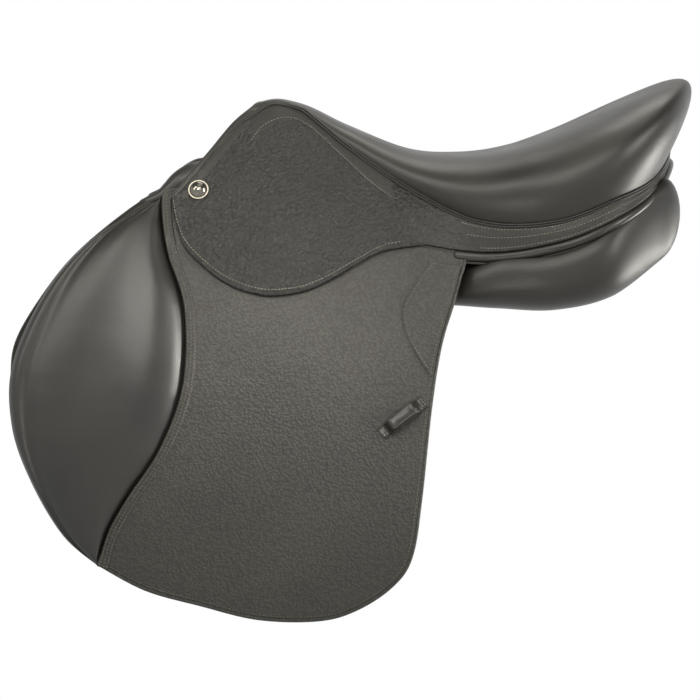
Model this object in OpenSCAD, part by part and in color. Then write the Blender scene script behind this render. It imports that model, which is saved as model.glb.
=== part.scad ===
// Jumping saddle. X runs from pommel to cantle, Y to the rider's right, Z up.
// The origin lies under the deepest point of the seat, level with the foot of the panels.

/* [Seat] */
// Distance from the deepest point of the seat forward to the pommel
pommel_reach = 168; // [155:1:185]
// Distance from the deepest point of the seat back to the cantle seam
cantle_reach = 207; // [195:1:220]
// Height of the pommel
pommel_h = 181; // [174:1:190]
// Height of the deepest point of the seat
seat_h = 133; // [126:1:139]
// Height of the top of the cantle
cantle_h = 202; // [192:1:214]
// Height of the seat seam at its lowest point
seam_h = 75; // [72:1:80]
// Height of the seat seam at the back of the cantle
seam_rear_h = 138; // [134:1:144]
// Width across the pommel
pommel_w = 36; // [32:1:42]
// Width across the seat seam at the waist
waist_w = 104; // [98:1:112]
// Width across the seat seam at its widest point
seat_w = 256; // [246:1:266]
// Thickness of the seat leather
cover_t = 2; // [1.5:0.1:2.6]
// Depth of the seat foam over the tree
foam_t = 30; // [24:1:34]
// Radius of the piped cord in the seat seam
welt_r = 2; // [1.5:0.1:2.5]

/* [Tree] */
// Thickness of the rails and cantle of the tree
tree_t = 9; // [7:0.5:11]
// Thickness of the two springs under the rails
spring_t = 2.5; // [2:0.1:4]
// Thickness of the webbing between the rails
webbing_t = 2.4; // [1.8:0.1:3.2]
// Rake of the head, from upright
head_rake = 43; // [41:0.5:45]
// Depth of the head arch from front to back
head_t = 24; // [18:1:28]
// Width of the gullet between the feet of the head arch
gullet_w = 72; // [64:1:78]
// Thickness of the steel plates on the head arch
head_plate_t = 2.6; // [2:0.1:3.5]
// Thickness of the two tree points
point_t = 5.5; // [4.5:0.1:6.5]
// Diameter of the rivets in the tree
rivet_d = 5; // [4:0.1:6]

/* [Flank] */
// Width across the fold lines from which the flaps hang
fold_w = 176; // [172:1:182]
// Depth of the fold line below the top of the pommel
fold_drop = 108; // [105:1:111]
// Outward tilt of the flaps
flank_tilt = 15; // [13:0.5:17]
// Fall of the fold line towards the rear
flank_slope = 10.4; // [9.5:0.1:11]
// Outward turn of the fold line towards the rear
flank_yaw = 5; // [4:0.5:6]
// Radius of the flaps' curve round the horse
flank_r = 800; // [700:10:1000]

/* [Flaps] */
// Depth of the flap below the fold
flap_drop = 350; // [322:1:372]
// Length of the fold in front of its middle
flap_front = 139; // [134:1:144]
// Length of the fold behind its middle
flap_rear = 139; // [136:1:142]
// How far the knee seam curves back into the flap
knee_seam_in = 57; // [45:1:70]
// How far the knee pad stands in front of the fold
knee_reach = 95; // [80:1:105]
// Height of the knee pad's crown above the flap
knee_crown = 19; // [12:1:24]
// Thickness of the flap leather
flap_t = 4.5; // [3.5:0.1:5.5]
// Depth of the skirt below the fold
skirt_drop = 74; // [64:1:84]
// Thickness of the skirt leather
skirt_t = 3.5; // [2.5:0.1:4]
// Thickness of the sweat flap leather
sweat_t = 3; // [2:0.1:4]
// Thickness of the rear patch
patch_t = 1.4; // [1:0.1:2]
// Length of the keeper on the flap
keeper_l = 47; // [40:1:56]
// Width of the keeper strap
keeper_w = 11; // [8:0.5:14]
// Thickness of the keeper strap
keeper_t = 2.4; // [1.8:0.1:3]
// Clear height inside the keeper
keeper_gap = 7.5; // [6:0.5:10]
// Diameter of the saddle nail's head
nail_d = 18; // [14:0.5:20]

/* [Billets] */
// Width of a billet
billet_w = 25; // [22:0.5:28]
// Thickness of a billet
billet_t = 3.6; // [2.8:0.1:4.2]
// Length of a billet
billet_l = 215; // [190:1:230]
// Space between the middles of the billets
billet_pitch = 44; // [40:1:46]
// Number of holes in a billet
billet_holes = 6; // [3:1:6]
// Diameter of a billet hole
hole_d = 5.5; // [4.5:0.1:6]
// Space between billet holes
hole_pitch = 25; // [22:0.5:26]
// Thickness of the web that carries the billets
web_t = 1.7; // [1.2:0.1:2.2]

/* [Stirrup bars] */
// Length of a stirrup bar
bar_l = 64; // [56:1:70]
// Height of the bar's blade
bar_h = 9.5; // [8:0.5:11]
// Thickness of the bar's blade
bar_t = 5; // [4.4:0.1:5.4]
// Thickness of the bar's plate
plate_t = 3; // [2.5:0.1:3.5]
// Height of the bar's plate
plate_h = 24; // [22:0.5:27]
// Length of the thumb catch behind its pin
catch_l = 18; // [14:0.5:20]
// Diameter of the catch pin
pin_d = 3; // [2.5:0.1:3.4]

/* [Panels] */
// Width of the channel between the panels
channel_w = 84; // [78:1:90]
// Width across the panels at their widest point
panel_w = 268; // [260:1:272]
// Height of a panel under the seat
panel_h = 47; // [44:1:49]
// Rise of the panels' foot to the rear end
panel_rise = 62; // [56:1:66]
// Depth of the panel below the fold at the front
panel_front_drop = 105; // [95:1:120]
// Radius of the piped cord along the panels
panel_welt_r = 4; // [3.4:0.1:4.2]
// Thickness of the leather over the channel
lining_t = 2.5; // [2:0.1:3]

/* [Hidden] */
$fn = 48;

// Clearances
sewn_gap = 0.3;
fold_gap = 0.5;
run_gap = 0.2;
pin_gap = 0.05;
billet_play = 2.8;
bar_clear = 0.8;

// Layers on the flank, measured outwards from the inner face of the flap
flap_out = flap_t;
skirt_in = flap_out + fold_gap;
skirt_out = skirt_in + skirt_t;
billet_out = -billet_play;
billet_in = billet_out - billet_t;
web_out = billet_in - 0.4;
web_in = web_out - web_t;
sweat_out = web_in - sewn_gap;
sweat_in = sweat_out - sweat_t;
point_out = sweat_in - fold_gap;
point_in = point_out - point_t;
panel_out = point_in - fold_gap;

// Curves
function mix(a, b, s) = a + (b - a) * s;
function unit(v) = v / norm(v);
function flip(p) = [p.x, -p.y, p.z];
function backwards(list) = [for (i = [len(list) - 1 : -1 : 0]) list[i]];

// A point on the smooth curve through the points p, with s from 0 to 1
function spline(p, s) =
    let (n = len(p) - 1, k = min(n - 1, floor(s * n)), f = s * n - k)
    let (a = p[max(0, k - 1)], b = p[k], c = p[k + 1], d = p[min(n, k + 2)])
    0.5 * (2 * b + (c - a) * f + (2 * a - 5 * b + 4 * c - d) * f * f + (3 * b - a - 3 * c + d) * f * f * f);
// The same for a curve that meets its mirror image squarely at its last point
function closing_spline(p, s) =
    let (n = len(p) - 1, k = min(n - 1, floor(s * n)), f = s * n - k)
    let (a = p[max(0, k - 1)], b = p[k], c = p[k + 1], d = k == n - 1 ? flip(b) : p[k + 2])
    0.5 * (2 * b + (c - a) * f + (2 * a - 5 * b + 4 * c - d) * f * f + (3 * b - a - 3 * c + d) * f * f * f);
function curve(p, n) = [for (i = [0 : n]) spline(p, i / n)];
function bezier(a, b, c, d, s) =
    let (r = 1 - s)
    r * r * r * a + 3 * r * r * s * b + 3 * r * s * s * c + s * s * s * d;

// Grids of points. The outside lies where column direction crossed with row direction points.
function grid_normal(g, i, j) =
    let (m = len(g) - 1, n = len(g[0]) - 1)
    let (rows = g[min(m, i + 1)][j] - g[max(0, i - 1)][j], cols = g[i][min(n, j + 1)] - g[i][max(0, j - 1)])
    unit(cross(cols, rows));
function offset_grid(g, d) =
    [for (i = [0 : len(g) - 1]) [for (j = [0 : len(g[0]) - 1]) g[i][j] + d * grid_normal(g, i, j)]];

// A sheet of leather or metal between two grids of equal size
module slab(outer, inner) {
    m = len(outer) - 1;
    n = len(outer[0]);
    k = len(outer) * n;
    cells = [for (i = [0 : m - 1], j = [0 : n - 2]) let (a = i * n + j, b = a + n)
        each [[a, b, b + 1], [a, b + 1, a + 1]]];
    backs = [for (f = cells) [f[2] + k, f[1] + k, f[0] + k]];
    rim = concat(
        [for (i = [0 : m - 1]) i * n], [for (j = [0 : n - 2]) m * n + j],
        [for (i = [m : -1 : 1]) i * n + n - 1], [for (j = [n - 1 : -1 : 1]) j]);
    walls = [for (q = [0 : len(rim) - 1]) let (a = rim[q], b = rim[(q + 1) % len(rim)])
        each [[b, a, a + k], [b, a + k, b + k]]];
    polyhedron(concat([for (r = outer) each r], [for (r = inner) each r]), concat(cells, backs, walls));
}

// A closed body through rings of points, counter-clockwise as seen from its far end
module loft(rings) {
    m = len(rings) - 1;
    n = len(rings[0]);
    sides = [for (i = [0 : m - 1], j = [0 : n - 1]) let (a = i * n + j, b = i * n + (j + 1) % n)
        each [[a, a + n, b + n], [a, b + n, b]]];
    caps = [for (j = [0 : n - 1]) let (e = (j + 1) % n)
        each [[j, e, (m + 1) * n], [m * n + e, m * n + j, (m + 1) * n + 1]]];
    middles = [for (r = [rings[0], rings[m]]) [for (p = r) 1] * r / n];
    polyhedron(concat([for (r = rings) each r], middles), concat(sides, caps));
}

// A round cord along a path
module cord(path, r, sides) {
    last = len(path) - 1;
    loft([for (i = [0 : last])
        let (t = unit(path[min(last, i + 1)] - path[max(0, i - 1)]))
        let (a = unit(cross([0, 0, 1], t)), b = cross(t, a))
        [for (q = [0 : sides - 1]) path[i] + r * (cos(360 * q / sides) * a + sin(360 * q / sides) * b)]]);
}

module left() {
    mirror([0, 1, 0]) children();
}

module both() {
    children();
    left() children();
}

// The flank: u runs back along the fold, v down over the flap, and n outwards
v_mid = 170;
flank_drop = sqrt(flank_r * flank_r - v_mid * v_mid);
leaf_reach = 700;
leaf_depth = 60;
fold_back = 54;
fold_at = [fold_back - pommel_reach, fold_w / 2, pommel_h - fold_drop];
yaw_along = [cos(flank_yaw), sin(flank_yaw), 0];
yaw_out = [-sin(flank_yaw), cos(flank_yaw), 0];
tilt_down = sin(flank_tilt) * yaw_out - [0, 0, cos(flank_tilt)];
flank_u = cos(flank_slope) * yaw_along + sin(flank_slope) * tilt_down;
flank_v = cos(flank_slope) * tilt_down - sin(flank_slope) * yaw_along;
flank_n = cos(flank_tilt) * yaw_out + [0, 0, sin(flank_tilt)];

function lean(v) = asin((v_mid - v) / flank_r);
function flank_point(u, v, off) =
    fold_at + u * flank_u + (v_mid - (flank_r + off) * sin(lean(v))) * flank_v
    + ((flank_r + off) * cos(lean(v)) - flank_drop) * flank_n;

module flank() {
    translate(fold_at)
    rotate([0, 0, flank_yaw])
    rotate([flank_tilt - 90, 0, 0])
    rotate([0, 0, flank_slope])
    children();
}

module flank_cylinder(n) {
    translate([0, v_mid, -flank_drop])
    rotate([0, 90, 0])
    cylinder(r = flank_r + n, h = leaf_reach, center = true, $fn = 720);
}

// A place on the flank with Z square to the leather
module on_flank(u, v, off) {
    flank()
    translate([0, v_mid, -flank_drop])
    rotate([lean(v), 0, 0])
    translate([u, 0, flank_r + off])
    children();
}

// A leaf of leather, cut to an outline and curved round the horse
module leaf(outline, n0, n1) {
    flank()
    intersection() {
        translate([0, 0, -leaf_depth])
        linear_extrude(2 * leaf_depth)
        polygon(outline);
        difference() {
            flank_cylinder(n1);
            flank_cylinder(n0);
        }
    }
}

// Seat stations from pommel to cantle: seam, spine and the handles of the profile between them
waist = waist_w / 2;
widest = seat_w / 2;
cantle_lift = 114 + 2.45 * (cantle_h - 202);
seam = [
    [-pommel_reach, pommel_w / 2, pommel_h - 2],
    [-0.78 * pommel_reach, pommel_w / 2 + 10, pommel_h - 5],
    [-0.506 * pommel_reach, waist, mix(seam_h, pommel_h, 0.63)],
    [-0.179 * pommel_reach, mix(waist, widest, 0.41), seam_h + 30],
    [0.145 * cantle_reach, mix(waist, widest, 0.776), seam_h + 3],
    [0.459 * cantle_reach, widest, seam_h + 3],
    [0.725 * cantle_reach, 0.92 * widest, mix(seam_h, seam_rear_h, 0.35)],
    [0.908 * cantle_reach, 0.585 * widest, mix(seam_h, seam_rear_h, 0.63)],
    [cantle_reach, 0, seam_rear_h]
];
spine = [
    [-pommel_reach, 0, pommel_h],
    [-0.762 * pommel_reach, 0, pommel_h - 2],
    [-0.506 * pommel_reach, 0, mix(seat_h, pommel_h, 0.54)],
    [-0.179 * pommel_reach, 0, seat_h + 4],
    [0.0725 * cantle_reach, 0, seat_h],
    [0.2415 * cantle_reach, 0, seat_h + 3],
    [0.362 * cantle_reach, 0, seat_h + 13],
    [0.459 * cantle_reach, 0, seat_h + 19],
    [0.507 * cantle_reach, 0, seat_h + 22]
];
seam_handle = [
    [0, 2, 1], [0, 0, 3], [0, 0, 14], [0, 8, 26], [0, 20, 50],
    [10, 20, 0.66 * cantle_lift], [34, 24, 0.9 * cantle_lift], [53, 19, 1.08 * cantle_lift],
    [61, 0, cantle_lift]
];
spine_handle = [
    [0, 9, 0], [0, 14, 0], [0, 28, 2], [0, 45, 4], [0, 62, 6],
    [12, 76, 8], [44, 66, 12], [68, 40, 27], [72, 0, 29]
];
foam_depth = foam_t * [0.25, 0.3, 0.6, 0.9, 1, 1, 1, 1, 1];
seat_rows = 20;
seat_cols = 9;

// The seat's normals lie in the middle plane along the spine and down the back of the cantle
function seat_normal(g, i, j) =
    i == seat_rows && j == seat_cols ? seat_normal(g, i - 1, j)
    : let (n = grid_normal(g, i, j)) i == seat_rows || j == seat_cols ? unit([n.x, 0, n.z]) : n;
function seat_offset(g, d) =
    [for (i = [0 : seat_rows]) [for (j = [0 : seat_cols]) g[i][j] + d * seat_normal(g, i, j)]];

seat_top = [for (i = [0 : seat_rows]) let (t = i / seat_rows)
    let (a = closing_spline(seam, t), c = closing_spline(spine, t))
    let (b = a + closing_spline(seam_handle, t), d = c + closing_spline(spine_handle, t))
    [for (j = [0 : seat_cols]) bezier(a, b, d, c, j / seat_cols)]];
foam_lip = cover_t + sewn_gap + 2;
lip_drop = foam_t * [0.23, 0.2, 0.1, 0, 0, 0, 0, 0, 0];
seat_base = [for (i = [0 : seat_rows]) let (t = i / seat_rows)
    let (a = seat_top[i][0] - foam_lip * seat_normal(seat_top, i, 0) - [0, 0, spline(lip_drop, t)])
    let (c = closing_spline(spine, t) - [0, 0, spline(foam_depth, t)])
    let (h = 0.62 * closing_spline(seam_handle, t), g = 0.8 * closing_spline(spine_handle, t))
    [for (j = [0 : seat_cols]) bezier(a, a + h, c + g, c, j / seat_cols)]];

// A shell over the whole seat from two half grids, folded together at the back of the cantle
module seat_shell(outer, inner) {
    m = seat_rows;
    h = seat_cols;
    n = 2 * h + 1;
    k = m * n + h + 1;
    function at(i, c) = i < m ? i * n + c : m * n + min(c, 2 * h - c);
    function sheet(g) = concat(
        [for (i = [0 : m - 1], c = [0 : 2 * h]) c <= h ? g[i][c] : flip(g[i][2 * h - c])], g[m]);
    cells = [for (i = [0 : m - 1], c = [0 : 2 * h - 1])
        each [[at(i, c), at(i + 1, c), at(i + 1, c + 1)], [at(i, c), at(i + 1, c + 1), at(i, c + 1)]]];
    backs = [for (f = cells) [f[2] + k, f[1] + k, f[0] + k]];
    rim = concat(
        [for (i = [0 : m - 1]) at(i, 0)], [for (i = [m : -1 : 1]) at(i, 2 * h)],
        [for (c = [2 * h : -1 : 1]) at(0, c)]);
    walls = [for (q = [0 : len(rim) - 1]) let (a = rim[q], b = rim[(q + 1) % len(rim)])
        each [[b, a, a + k], [b, a + k, b + k]]];
    polyhedron(concat(sheet(outer), sheet(inner)), concat(cells, backs, walls));
}

// Rows of a half grid run down the right side, round the cantle and up the left side
function horseshoe(half) = concat(half, [for (i = [len(half) - 2 : -1 : 0]) [for (p = half[i]) flip(p)]]);

// Part of the foam's underside, from rows i and columns j of its grid, let down by d
function base_part(i0, i1, j0, j1, d) =
    [for (i = [i0 : i1]) [for (j = [j0 : j1]) seat_base[i][j] - [0, 0, d]]];

rail_row = 0;
rail_out = 3;
rail_in = 7;
spring_rows = [0, 17];
tree_bottom = sewn_gap + tree_t;

module tree_frame() {
    color("tan")
    slab(
        horseshoe(base_part(rail_row, seat_rows, rail_out, rail_in, sewn_gap)),
        horseshoe(base_part(rail_row, seat_rows, rail_out, rail_in, tree_bottom)));
}

module spring() {
    top = tree_bottom + 2 * sewn_gap;
    color("slategray")
    slab(
        base_part(spring_rows[0], spring_rows[1], rail_out + 1, rail_out + 2, top),
        base_part(spring_rows[0], spring_rows[1], rail_out + 1, rail_out + 2, top + spring_t));
}

// The webbing is strained between the rails
web_rows = [3, 15];
web_inset = 0.03;
function web_grid(d) = [for (r = base_part(web_rows[0], web_rows[1], rail_in, seat_cols, d))
    let (half = concat([mix(r[0], r[1], web_inset)], [for (j = [1 : len(r) - 1]) r[j]]))
    concat(half, [for (j = [len(half) - 2 : -1 : 0]) flip(half[j])])];

module seat_webbing() {
    color("dimgray")
    slab(web_grid(sewn_gap), web_grid(sewn_gap + webbing_t));
}

module seat_foam() {
    color("khaki")
    seat_shell(seat_offset(seat_top, -cover_t - sewn_gap), seat_base);
}

module seat_cover() {
    color("#35342f")
    seat_shell(seat_top, seat_offset(seat_top, -cover_t));
}

// The skirt's fixed upper part, from the seat seam down to the fold and back under the seat
skirt_set = 9;
skirt_l = 234;
skirt_front = skirt_set - flap_front;
fold_edge = [for (u = [skirt_front, -85, -20, 62]) flank_point(u, -fold_gap, skirt_out)];
strip_low = [
    [31, 114, seam_h - 24], [98, 132, seam_h - 14], [150, 122, seam_h + 6],
    [188, 79, seam_rear_h - 34], [209, 0, seam_rear_h - 8]
];
yoke_low = concat(fold_edge, strip_low);
yoke_bow = [7, 7, 5, 2, 0, 0, 0, 0, 0];
yoke_cols = 4;
bow_out = [0, 0.8, 0.6];
function apart(p) = [p.x, max(p.y, fold_gap / 2), p.z];
yoke_face = [for (i = [0 : seat_rows]) let (t = i / seat_rows)
    let (low = closing_spline(yoke_low, t), edge = closing_spline(seam, t))
    let (high = edge + fold_gap * unit(low - edge))
    [for (j = [0 : yoke_cols]) let (s = j / yoke_cols)
        apart(mix(low, high, s) + 4 * s * (1 - s) * spline(yoke_bow, t) * bow_out)]];
function yoke_normal(i, j) =
    let (n = grid_normal(yoke_face, i, j))
    i == seat_rows ? unit([n.x, 0, n.z]) : n;

module skirt_yoke() {
    color("#3b3a36")
    slab(yoke_face, [for (i = [0 : seat_rows]) [for (j = [0 : yoke_cols])
        yoke_face[i][j] - skirt_t * yoke_normal(i, j)]]);
}

// The piped cord lies in the corner between the seat and the skirt
module seat_welt() {
    side = [for (i = [0 : seat_rows])
        let (a = seat_normal(seat_top, i, 0), b = yoke_normal(i, yoke_cols), out = unit(a + b))
        seat_top[i][0] + (welt_r + sewn_gap) / (out * a) * (i == seat_rows ? unit([out.x, 0, out.z]) : out)];
    color("#1f1f1d")
    cord(concat(side, [for (i = [seat_rows - 1 : -1 : 0]) flip(side[i])]), welt_r, 8);
}

nail_row = 1;
nail_back = 5;
nail_at = mix(yoke_face[nail_row][0], yoke_face[nail_row][1], 0.3)
    + nail_back * unit(yoke_face[nail_row + 1][0] - yoke_face[nail_row][0]);
nail_out = yoke_normal(nail_row, 0);

module saddle_nail() {
    dome_h = 0.26 * nail_d;
    rim_h = 1;
    color("silver")
    translate(nail_at + (sewn_gap + 0.4) * nail_out)
    rotate([0, acos(nail_out.z), atan2(nail_out.y, nail_out.x)])
    rotate_extrude() {
        square([nail_d / 2, rim_h]);
        translate([0, rim_h])
        intersection() {
            square([nail_d / 2 - 1, dome_h]);
            translate([0, dome_h - nail_d / 2])
            circle(nail_d / 2, $fn = 96);
        }
    }
}

// Flap outlines on the flank
function at_drop(list, u0, du) = [for (p = list) [u0 + p[0] * du, p[1] * flap_drop]];
knee_seam = at_drop([
    [0, 0], [0.1, 0.066], [0.33, 0.155], [0.77, 0.283], [1, 0.471], [0.86, 0.635], [0.53, 0.765],
    [0.33, 0.857], [0.26, 0.948]
], -flap_front, knee_seam_in);
knee_edge = at_drop([
    [-0.02, 0.014], [-0.22, 0.063], [-0.52, 0.139], [-0.83, 0.286], [-1, 0.491], [-0.89, 0.648],
    [-0.61, 0.777], [-0.22, 0.893], [0.156, 0.95]
], -flap_front, knee_reach);
hem = at_drop([
    [0, 0.948], [0.17, 0.985], [0.36, 0.995], [0.56, 1], [0.76, 0.973], [0.88, 0.927], [0.98, 0.853],
    [1.022, 0.773], [1.015, 0.625], [0.988, 0.407], [0.978, 0.248], [0.99, 0.129], [1, 0]
], 0.26 * knee_seam_in - flap_front, flap_front + flap_rear - 0.26 * knee_seam_in);
pad_rows = 24;
bar_u = -62;
bar_v = 18;
notch_front = bar_u - bar_l / 2 - 10;
notch_rear = bar_u + bar_l / 2 + catch_l + 8;
notch_v = bar_v + bar_h / 2 + 13;
notch = [[notch_rear, 0], [notch_rear - 4, notch_v], [notch_front + 4, notch_v], [notch_front, 0]];

module flap() {
    color("#3b3a36")
    leaf(concat(curve(knee_seam, pad_rows), curve(hem, 48), notch), 0, flap_out);
}

// The knee pad swells between its rolled front rim and the seam with the flap
pad_across = [0, 0.03, 0.07, 0.11, 0.2, 0.35, 0.5, 0.65, 0.8, 0.92, 1];
pad_height = [0.16, 0.42, 0.53, 0.45, 0.68, 0.92, 1, 0.95, 0.72, 0.42, 0.24];

function pad_grid(share) = [for (i = [0 : pad_rows]) let (a = i / pad_rows)
    let (front = spline(knee_edge, a), rear = spline(knee_seam, a) - [fold_gap, 0])
    let (swell = max(0.22, pow(sin(180 * a), 0.6)))
    [for (j = [0 : len(pad_across) - 1]) let (p = mix(front, rear, pad_across[j]))
        flank_point(p[0], p[1], share * knee_crown * swell * pad_height[j])]];

module knee_pad() {
    color("#2c2b29")
    slab(pad_grid(1), pad_grid(0));
}

// The patch is sewn on beside the rear edge of the flap, in shares of its width forward and its length down
patch_rear = flap_rear - 4;
patch_top = 14;
patch_w = 42;
patch_l = 104;
patch_gap = 0.1;
function on_patch(list) = [for (p = list) [patch_rear - p[0] * patch_w, patch_top + p[1] * patch_l]];

module flap_patch() {
    front = on_patch([[0.64, 0], [0.86, 0.23], [1, 0.46], [0.83, 0.67], [0.4, 0.88], [0.1, 1]]);
    rear = on_patch([[0.1, 0.7], [0.07, 0.41], [0.02, 0.18], [0, 0]]);
    color("#383733")
    leaf(concat(curve(front, 20), rear), flap_out + patch_gap, flap_out + patch_gap + patch_t);
}

// The keeper is a strap sewn down at both ends and arched over a clear gap
keeper_at = [113, 156];
keeper_turn = -49;

module keeper() {
    tab = 6;
    rise = 5;
    half = keeper_l / 2;
    top = keeper_gap + keeper_t;
    ramp = tab + rise;
    inner = 0.6 * keeper_t;
    over = [[-half, 0], [-half, keeper_t], [tab - half, keeper_t], [ramp - half, top], [half - ramp, top],
        [half - tab, keeper_t], [half, keeper_t], [half, 0]];
    under = [[half - tab - inner, 0], [half - ramp - inner, keeper_gap], [ramp + inner - half, keeper_gap],
        [tab + inner - half, 0]];
    color("#2f2e2b")
    on_flank(keeper_at[0], keeper_at[1], flap_out + sewn_gap)
    rotate([0, 0, keeper_turn])
    rotate([90, 0, 0])
    linear_extrude(keeper_w, center = true)
    polygon(concat(over, under));
}

// The skirt's outline, in shares of its length back along the fold and its drop
skirt_edge = [
    [0, 0], [0.013, 0.14], [0.047, 0.38], [0.111, 0.64], [0.265, 0.92], [0.419, 1], [0.556, 0.89],
    [0.65, 0.7], [0.748, 0.42], [0.838, 0.19], [1, 0]
];

module skirt() {
    edge = [for (p = skirt_edge) [skirt_front + p[0] * skirt_l, p[1] * skirt_drop]];
    color("#3b3a36")
    leaf(curve(edge, 40), skirt_in, skirt_out);
}

module sweat_flap() {
    lip = 9;
    f = -flap_front;
    band = [[f - 11, -4], [f - 27, 0.03 * flap_drop], [f - 0.62 * knee_reach, 0.15 * flap_drop],
        [f - 0.82 * knee_reach - 2, 0.26 * flap_drop], [f - 0.95 * knee_reach - lip, 0.42 * flap_drop],
        [f - knee_reach - 3, 0.52 * flap_drop]];
    foot = [[f - 0.92 * knee_reach, 0.62 * flap_drop], [f - 0.64 * knee_reach, 0.755 * flap_drop],
        [f - 0.22 * knee_reach, 0.87 * flap_drop], [f + 29, 0.937 * flap_drop], [-30, 0.96 * flap_drop],
        [40, 0.963 * flap_drop], [flap_rear - 44, 0.917 * flap_drop], [flap_rear - 16, 0.82 * flap_drop],
        [flap_rear - 9, 0.69 * flap_drop], [flap_rear - 14, 0.43 * flap_drop], [flap_rear - 17, 58]];
    color("#2a2927")
    leaf(concat(curve(concat(band, foot), 56), [[-96, notch_v + 10], [-122, 0]]), sweat_in, sweat_out);
}

// Billets hang plumb from the web and swing at their sewn tops
billet_top_v = 50;
billet_first_u = -8;
billet_down = [sin(flank_slope), cos(flank_slope)];
billet_side = [cos(flank_slope), -sin(flank_slope)];
function billet_u(i) = billet_first_u + i * billet_pitch;
function on_billet(i, along, side) = [billet_u(i), billet_top_v] + along * billet_down + side * billet_side;

module billet(i) {
    half = billet_w / 2;
    head = 12;
    tip = 14;
    first_hole = billet_l - 34;
    color("#2f2e2b")
    difference() {
        leaf([
            on_billet(i, -head, -half), on_billet(i, -head, half), on_billet(i, billet_l - head - tip, half),
            on_billet(i, billet_l - head, half / 3), on_billet(i, billet_l - head, -half / 3),
            on_billet(i, billet_l - head - tip, -half)
        ], billet_in, billet_out);
        for (h = [0 : billet_holes - 1]) {
            place = on_billet(i, first_hole - head - h * hole_pitch, 0);
            on_flank(place[0], place[1], billet_in - 1)
            cylinder(d = hole_d, h = billet_t + 2);
        }
    }
}

module billet_web() {
    half = billet_w / 2 + 2;
    color("gray")
    leaf([
        [billet_u(0) - half, 34], [billet_u(1) - 22, -20], [billet_u(2) + half - 4, -20],
        [billet_u(2) + half, 34], [billet_u(2) + half, 74], [billet_u(0) - half, 74]
    ], web_in, web_out);
}

// The head of the tree stands in the raked plane of the pommel
module in_rake() {
    translate([-pommel_reach, 0, pommel_h - 2])
    rotate([0, head_rake, 0])
    children();
}

// An arch across the saddle, with its front face at depth x in the raked plane
module arch(x, depth, outer, inner) {
    in_rake()
    translate([x, 0, 0])
    rotate([90, 0, 90])
    linear_extrude(depth)
    polygon(concat(arch_line(outer), backwards(arch_line(inner))));
}

function arch_line(half) =
    let (side = curve(half, 14))
    concat(side, [for (i = [len(side) - 2 : -1 : 0]) [-side[i][0], side[i][1]]]);

leg = 88;
flare = 0.55;
gullet = gullet_w / 2;
function arch_half(z, margin) = pommel_w / 2 + flare * z - margin;
function head_outer(margin, top) = [
    [arch_half(leg, margin), -leg], [arch_half(0.7 * leg, margin), -0.7 * leg],
    [arch_half(0.4 * leg, margin), -0.4 * leg], [0.5 * arch_half(0.3 * leg, margin), -top - 3], [0, -top]
];
function head_inner(d) = [
    [gullet - d, -leg], [0.86 * gullet - d, -0.78 * leg], [0.6 * gullet - d, -0.56 * leg],
    [0.25 * gullet, -0.41 * leg - d], [0, -0.38 * leg - d]
];
head_top = 11.5;
facing_top = 4;
facing_t = 2.5;
head_front = facing_t + sewn_gap;
head_margin = skirt_t + 2.5;

module tree_head() {
    color("burlywood")
    difference() {
        arch(head_front, head_t, head_outer(head_margin, head_top), head_inner(0));
        both()
        flank()
        difference() {
            flank_cylinder(point_in + 80);
            flank_cylinder(point_in - sewn_gap);
        }
        rivet_holes();
    }
}

module pommel_facing() {
    color("#2c2b29")
    arch(0, facing_t, head_outer(head_margin, facing_top), head_inner(0));
}

module gullet_plate() {
    color("slategray")
    arch(head_front, head_t, head_inner(sewn_gap), head_inner(sewn_gap + head_plate_t));
}

module head_plate() {
    color("slategray")
    arch(head_front + head_t + sewn_gap, head_plate_t, head_outer(head_margin + 14, 17), head_inner(-3));
}

// The points carry the stirrup bars and are riveted to the feet of the head
point_top = -34;
point_low = 92;
rivet_places = [[-111, -19], [-102, -30]];

module tree_point() {
    outline = [[-114, point_top], [-88, point_top], [-78, -6], [-22, 0], [-22, 40], [-48, 60],
        [-54, point_low - 8], [-66, point_low], [-80, point_low - 6], [-104, 40], [-117, -4]];
    color("slategray")
    difference() {
        leaf(outline, point_in, point_out);
        rivet_holes();
        bar_rivet_holes();
    }
}

module rivet_holes() {
    both()
    for (p = rivet_places)
    on_flank(p[0], p[1], point_in - 14)
    cylinder(d = rivet_d + 2 * pin_gap, h = point_t + 15);
}

module tree_rivets() {
    color("silver")
    both()
    for (p = rivet_places)
    on_flank(p[0], p[1], point_in - 8)
    rivet(point_t + 8);
}

module rivet(grip) {
    cylinder(d = rivet_d, h = grip);
    translate([0, 0, grip + 0.1])
    cylinder(d1 = 1.9 * rivet_d, d2 = 1.1 * rivet_d, h = 1.6);
    translate([0, 0, grip])
    cylinder(d = rivet_d, h = 0.2);
}

// The stirrup bar: a plate on the tree point, an elbow at its front and a blade open to the rear
bar_plate_z = point_out + run_gap;
bar_slot_z = bar_plate_z + plate_t;
bar_top_z = skirt_in - bar_clear;
bar_blade_z = bar_top_z - bar_t;
bar_gap = bar_blade_z - bar_slot_z;
bar_front = -bar_l / 2;
catch_x = bar_l / 2 - bar_h / 2;
tongue_t = 0.48 * bar_t;
tongue_z = bar_blade_z + (bar_t - tongue_t) / 2;
plate_l = bar_l - 6;
bar_rivet_x = [bar_front + 12, bar_front + 40];

module on_bar() {
    on_flank(bar_u, bar_v, 0)
    children();
}

module bar_rivet_holes() {
    on_bar()
    for (x = bar_rivet_x, y = [-1, 1])
    translate([x, y * (plate_h / 2 - 4.5), point_in - 2])
    cylinder(d = rivet_d - 1 + 2 * pin_gap, h = point_t + plate_t + 4);
}

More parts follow.
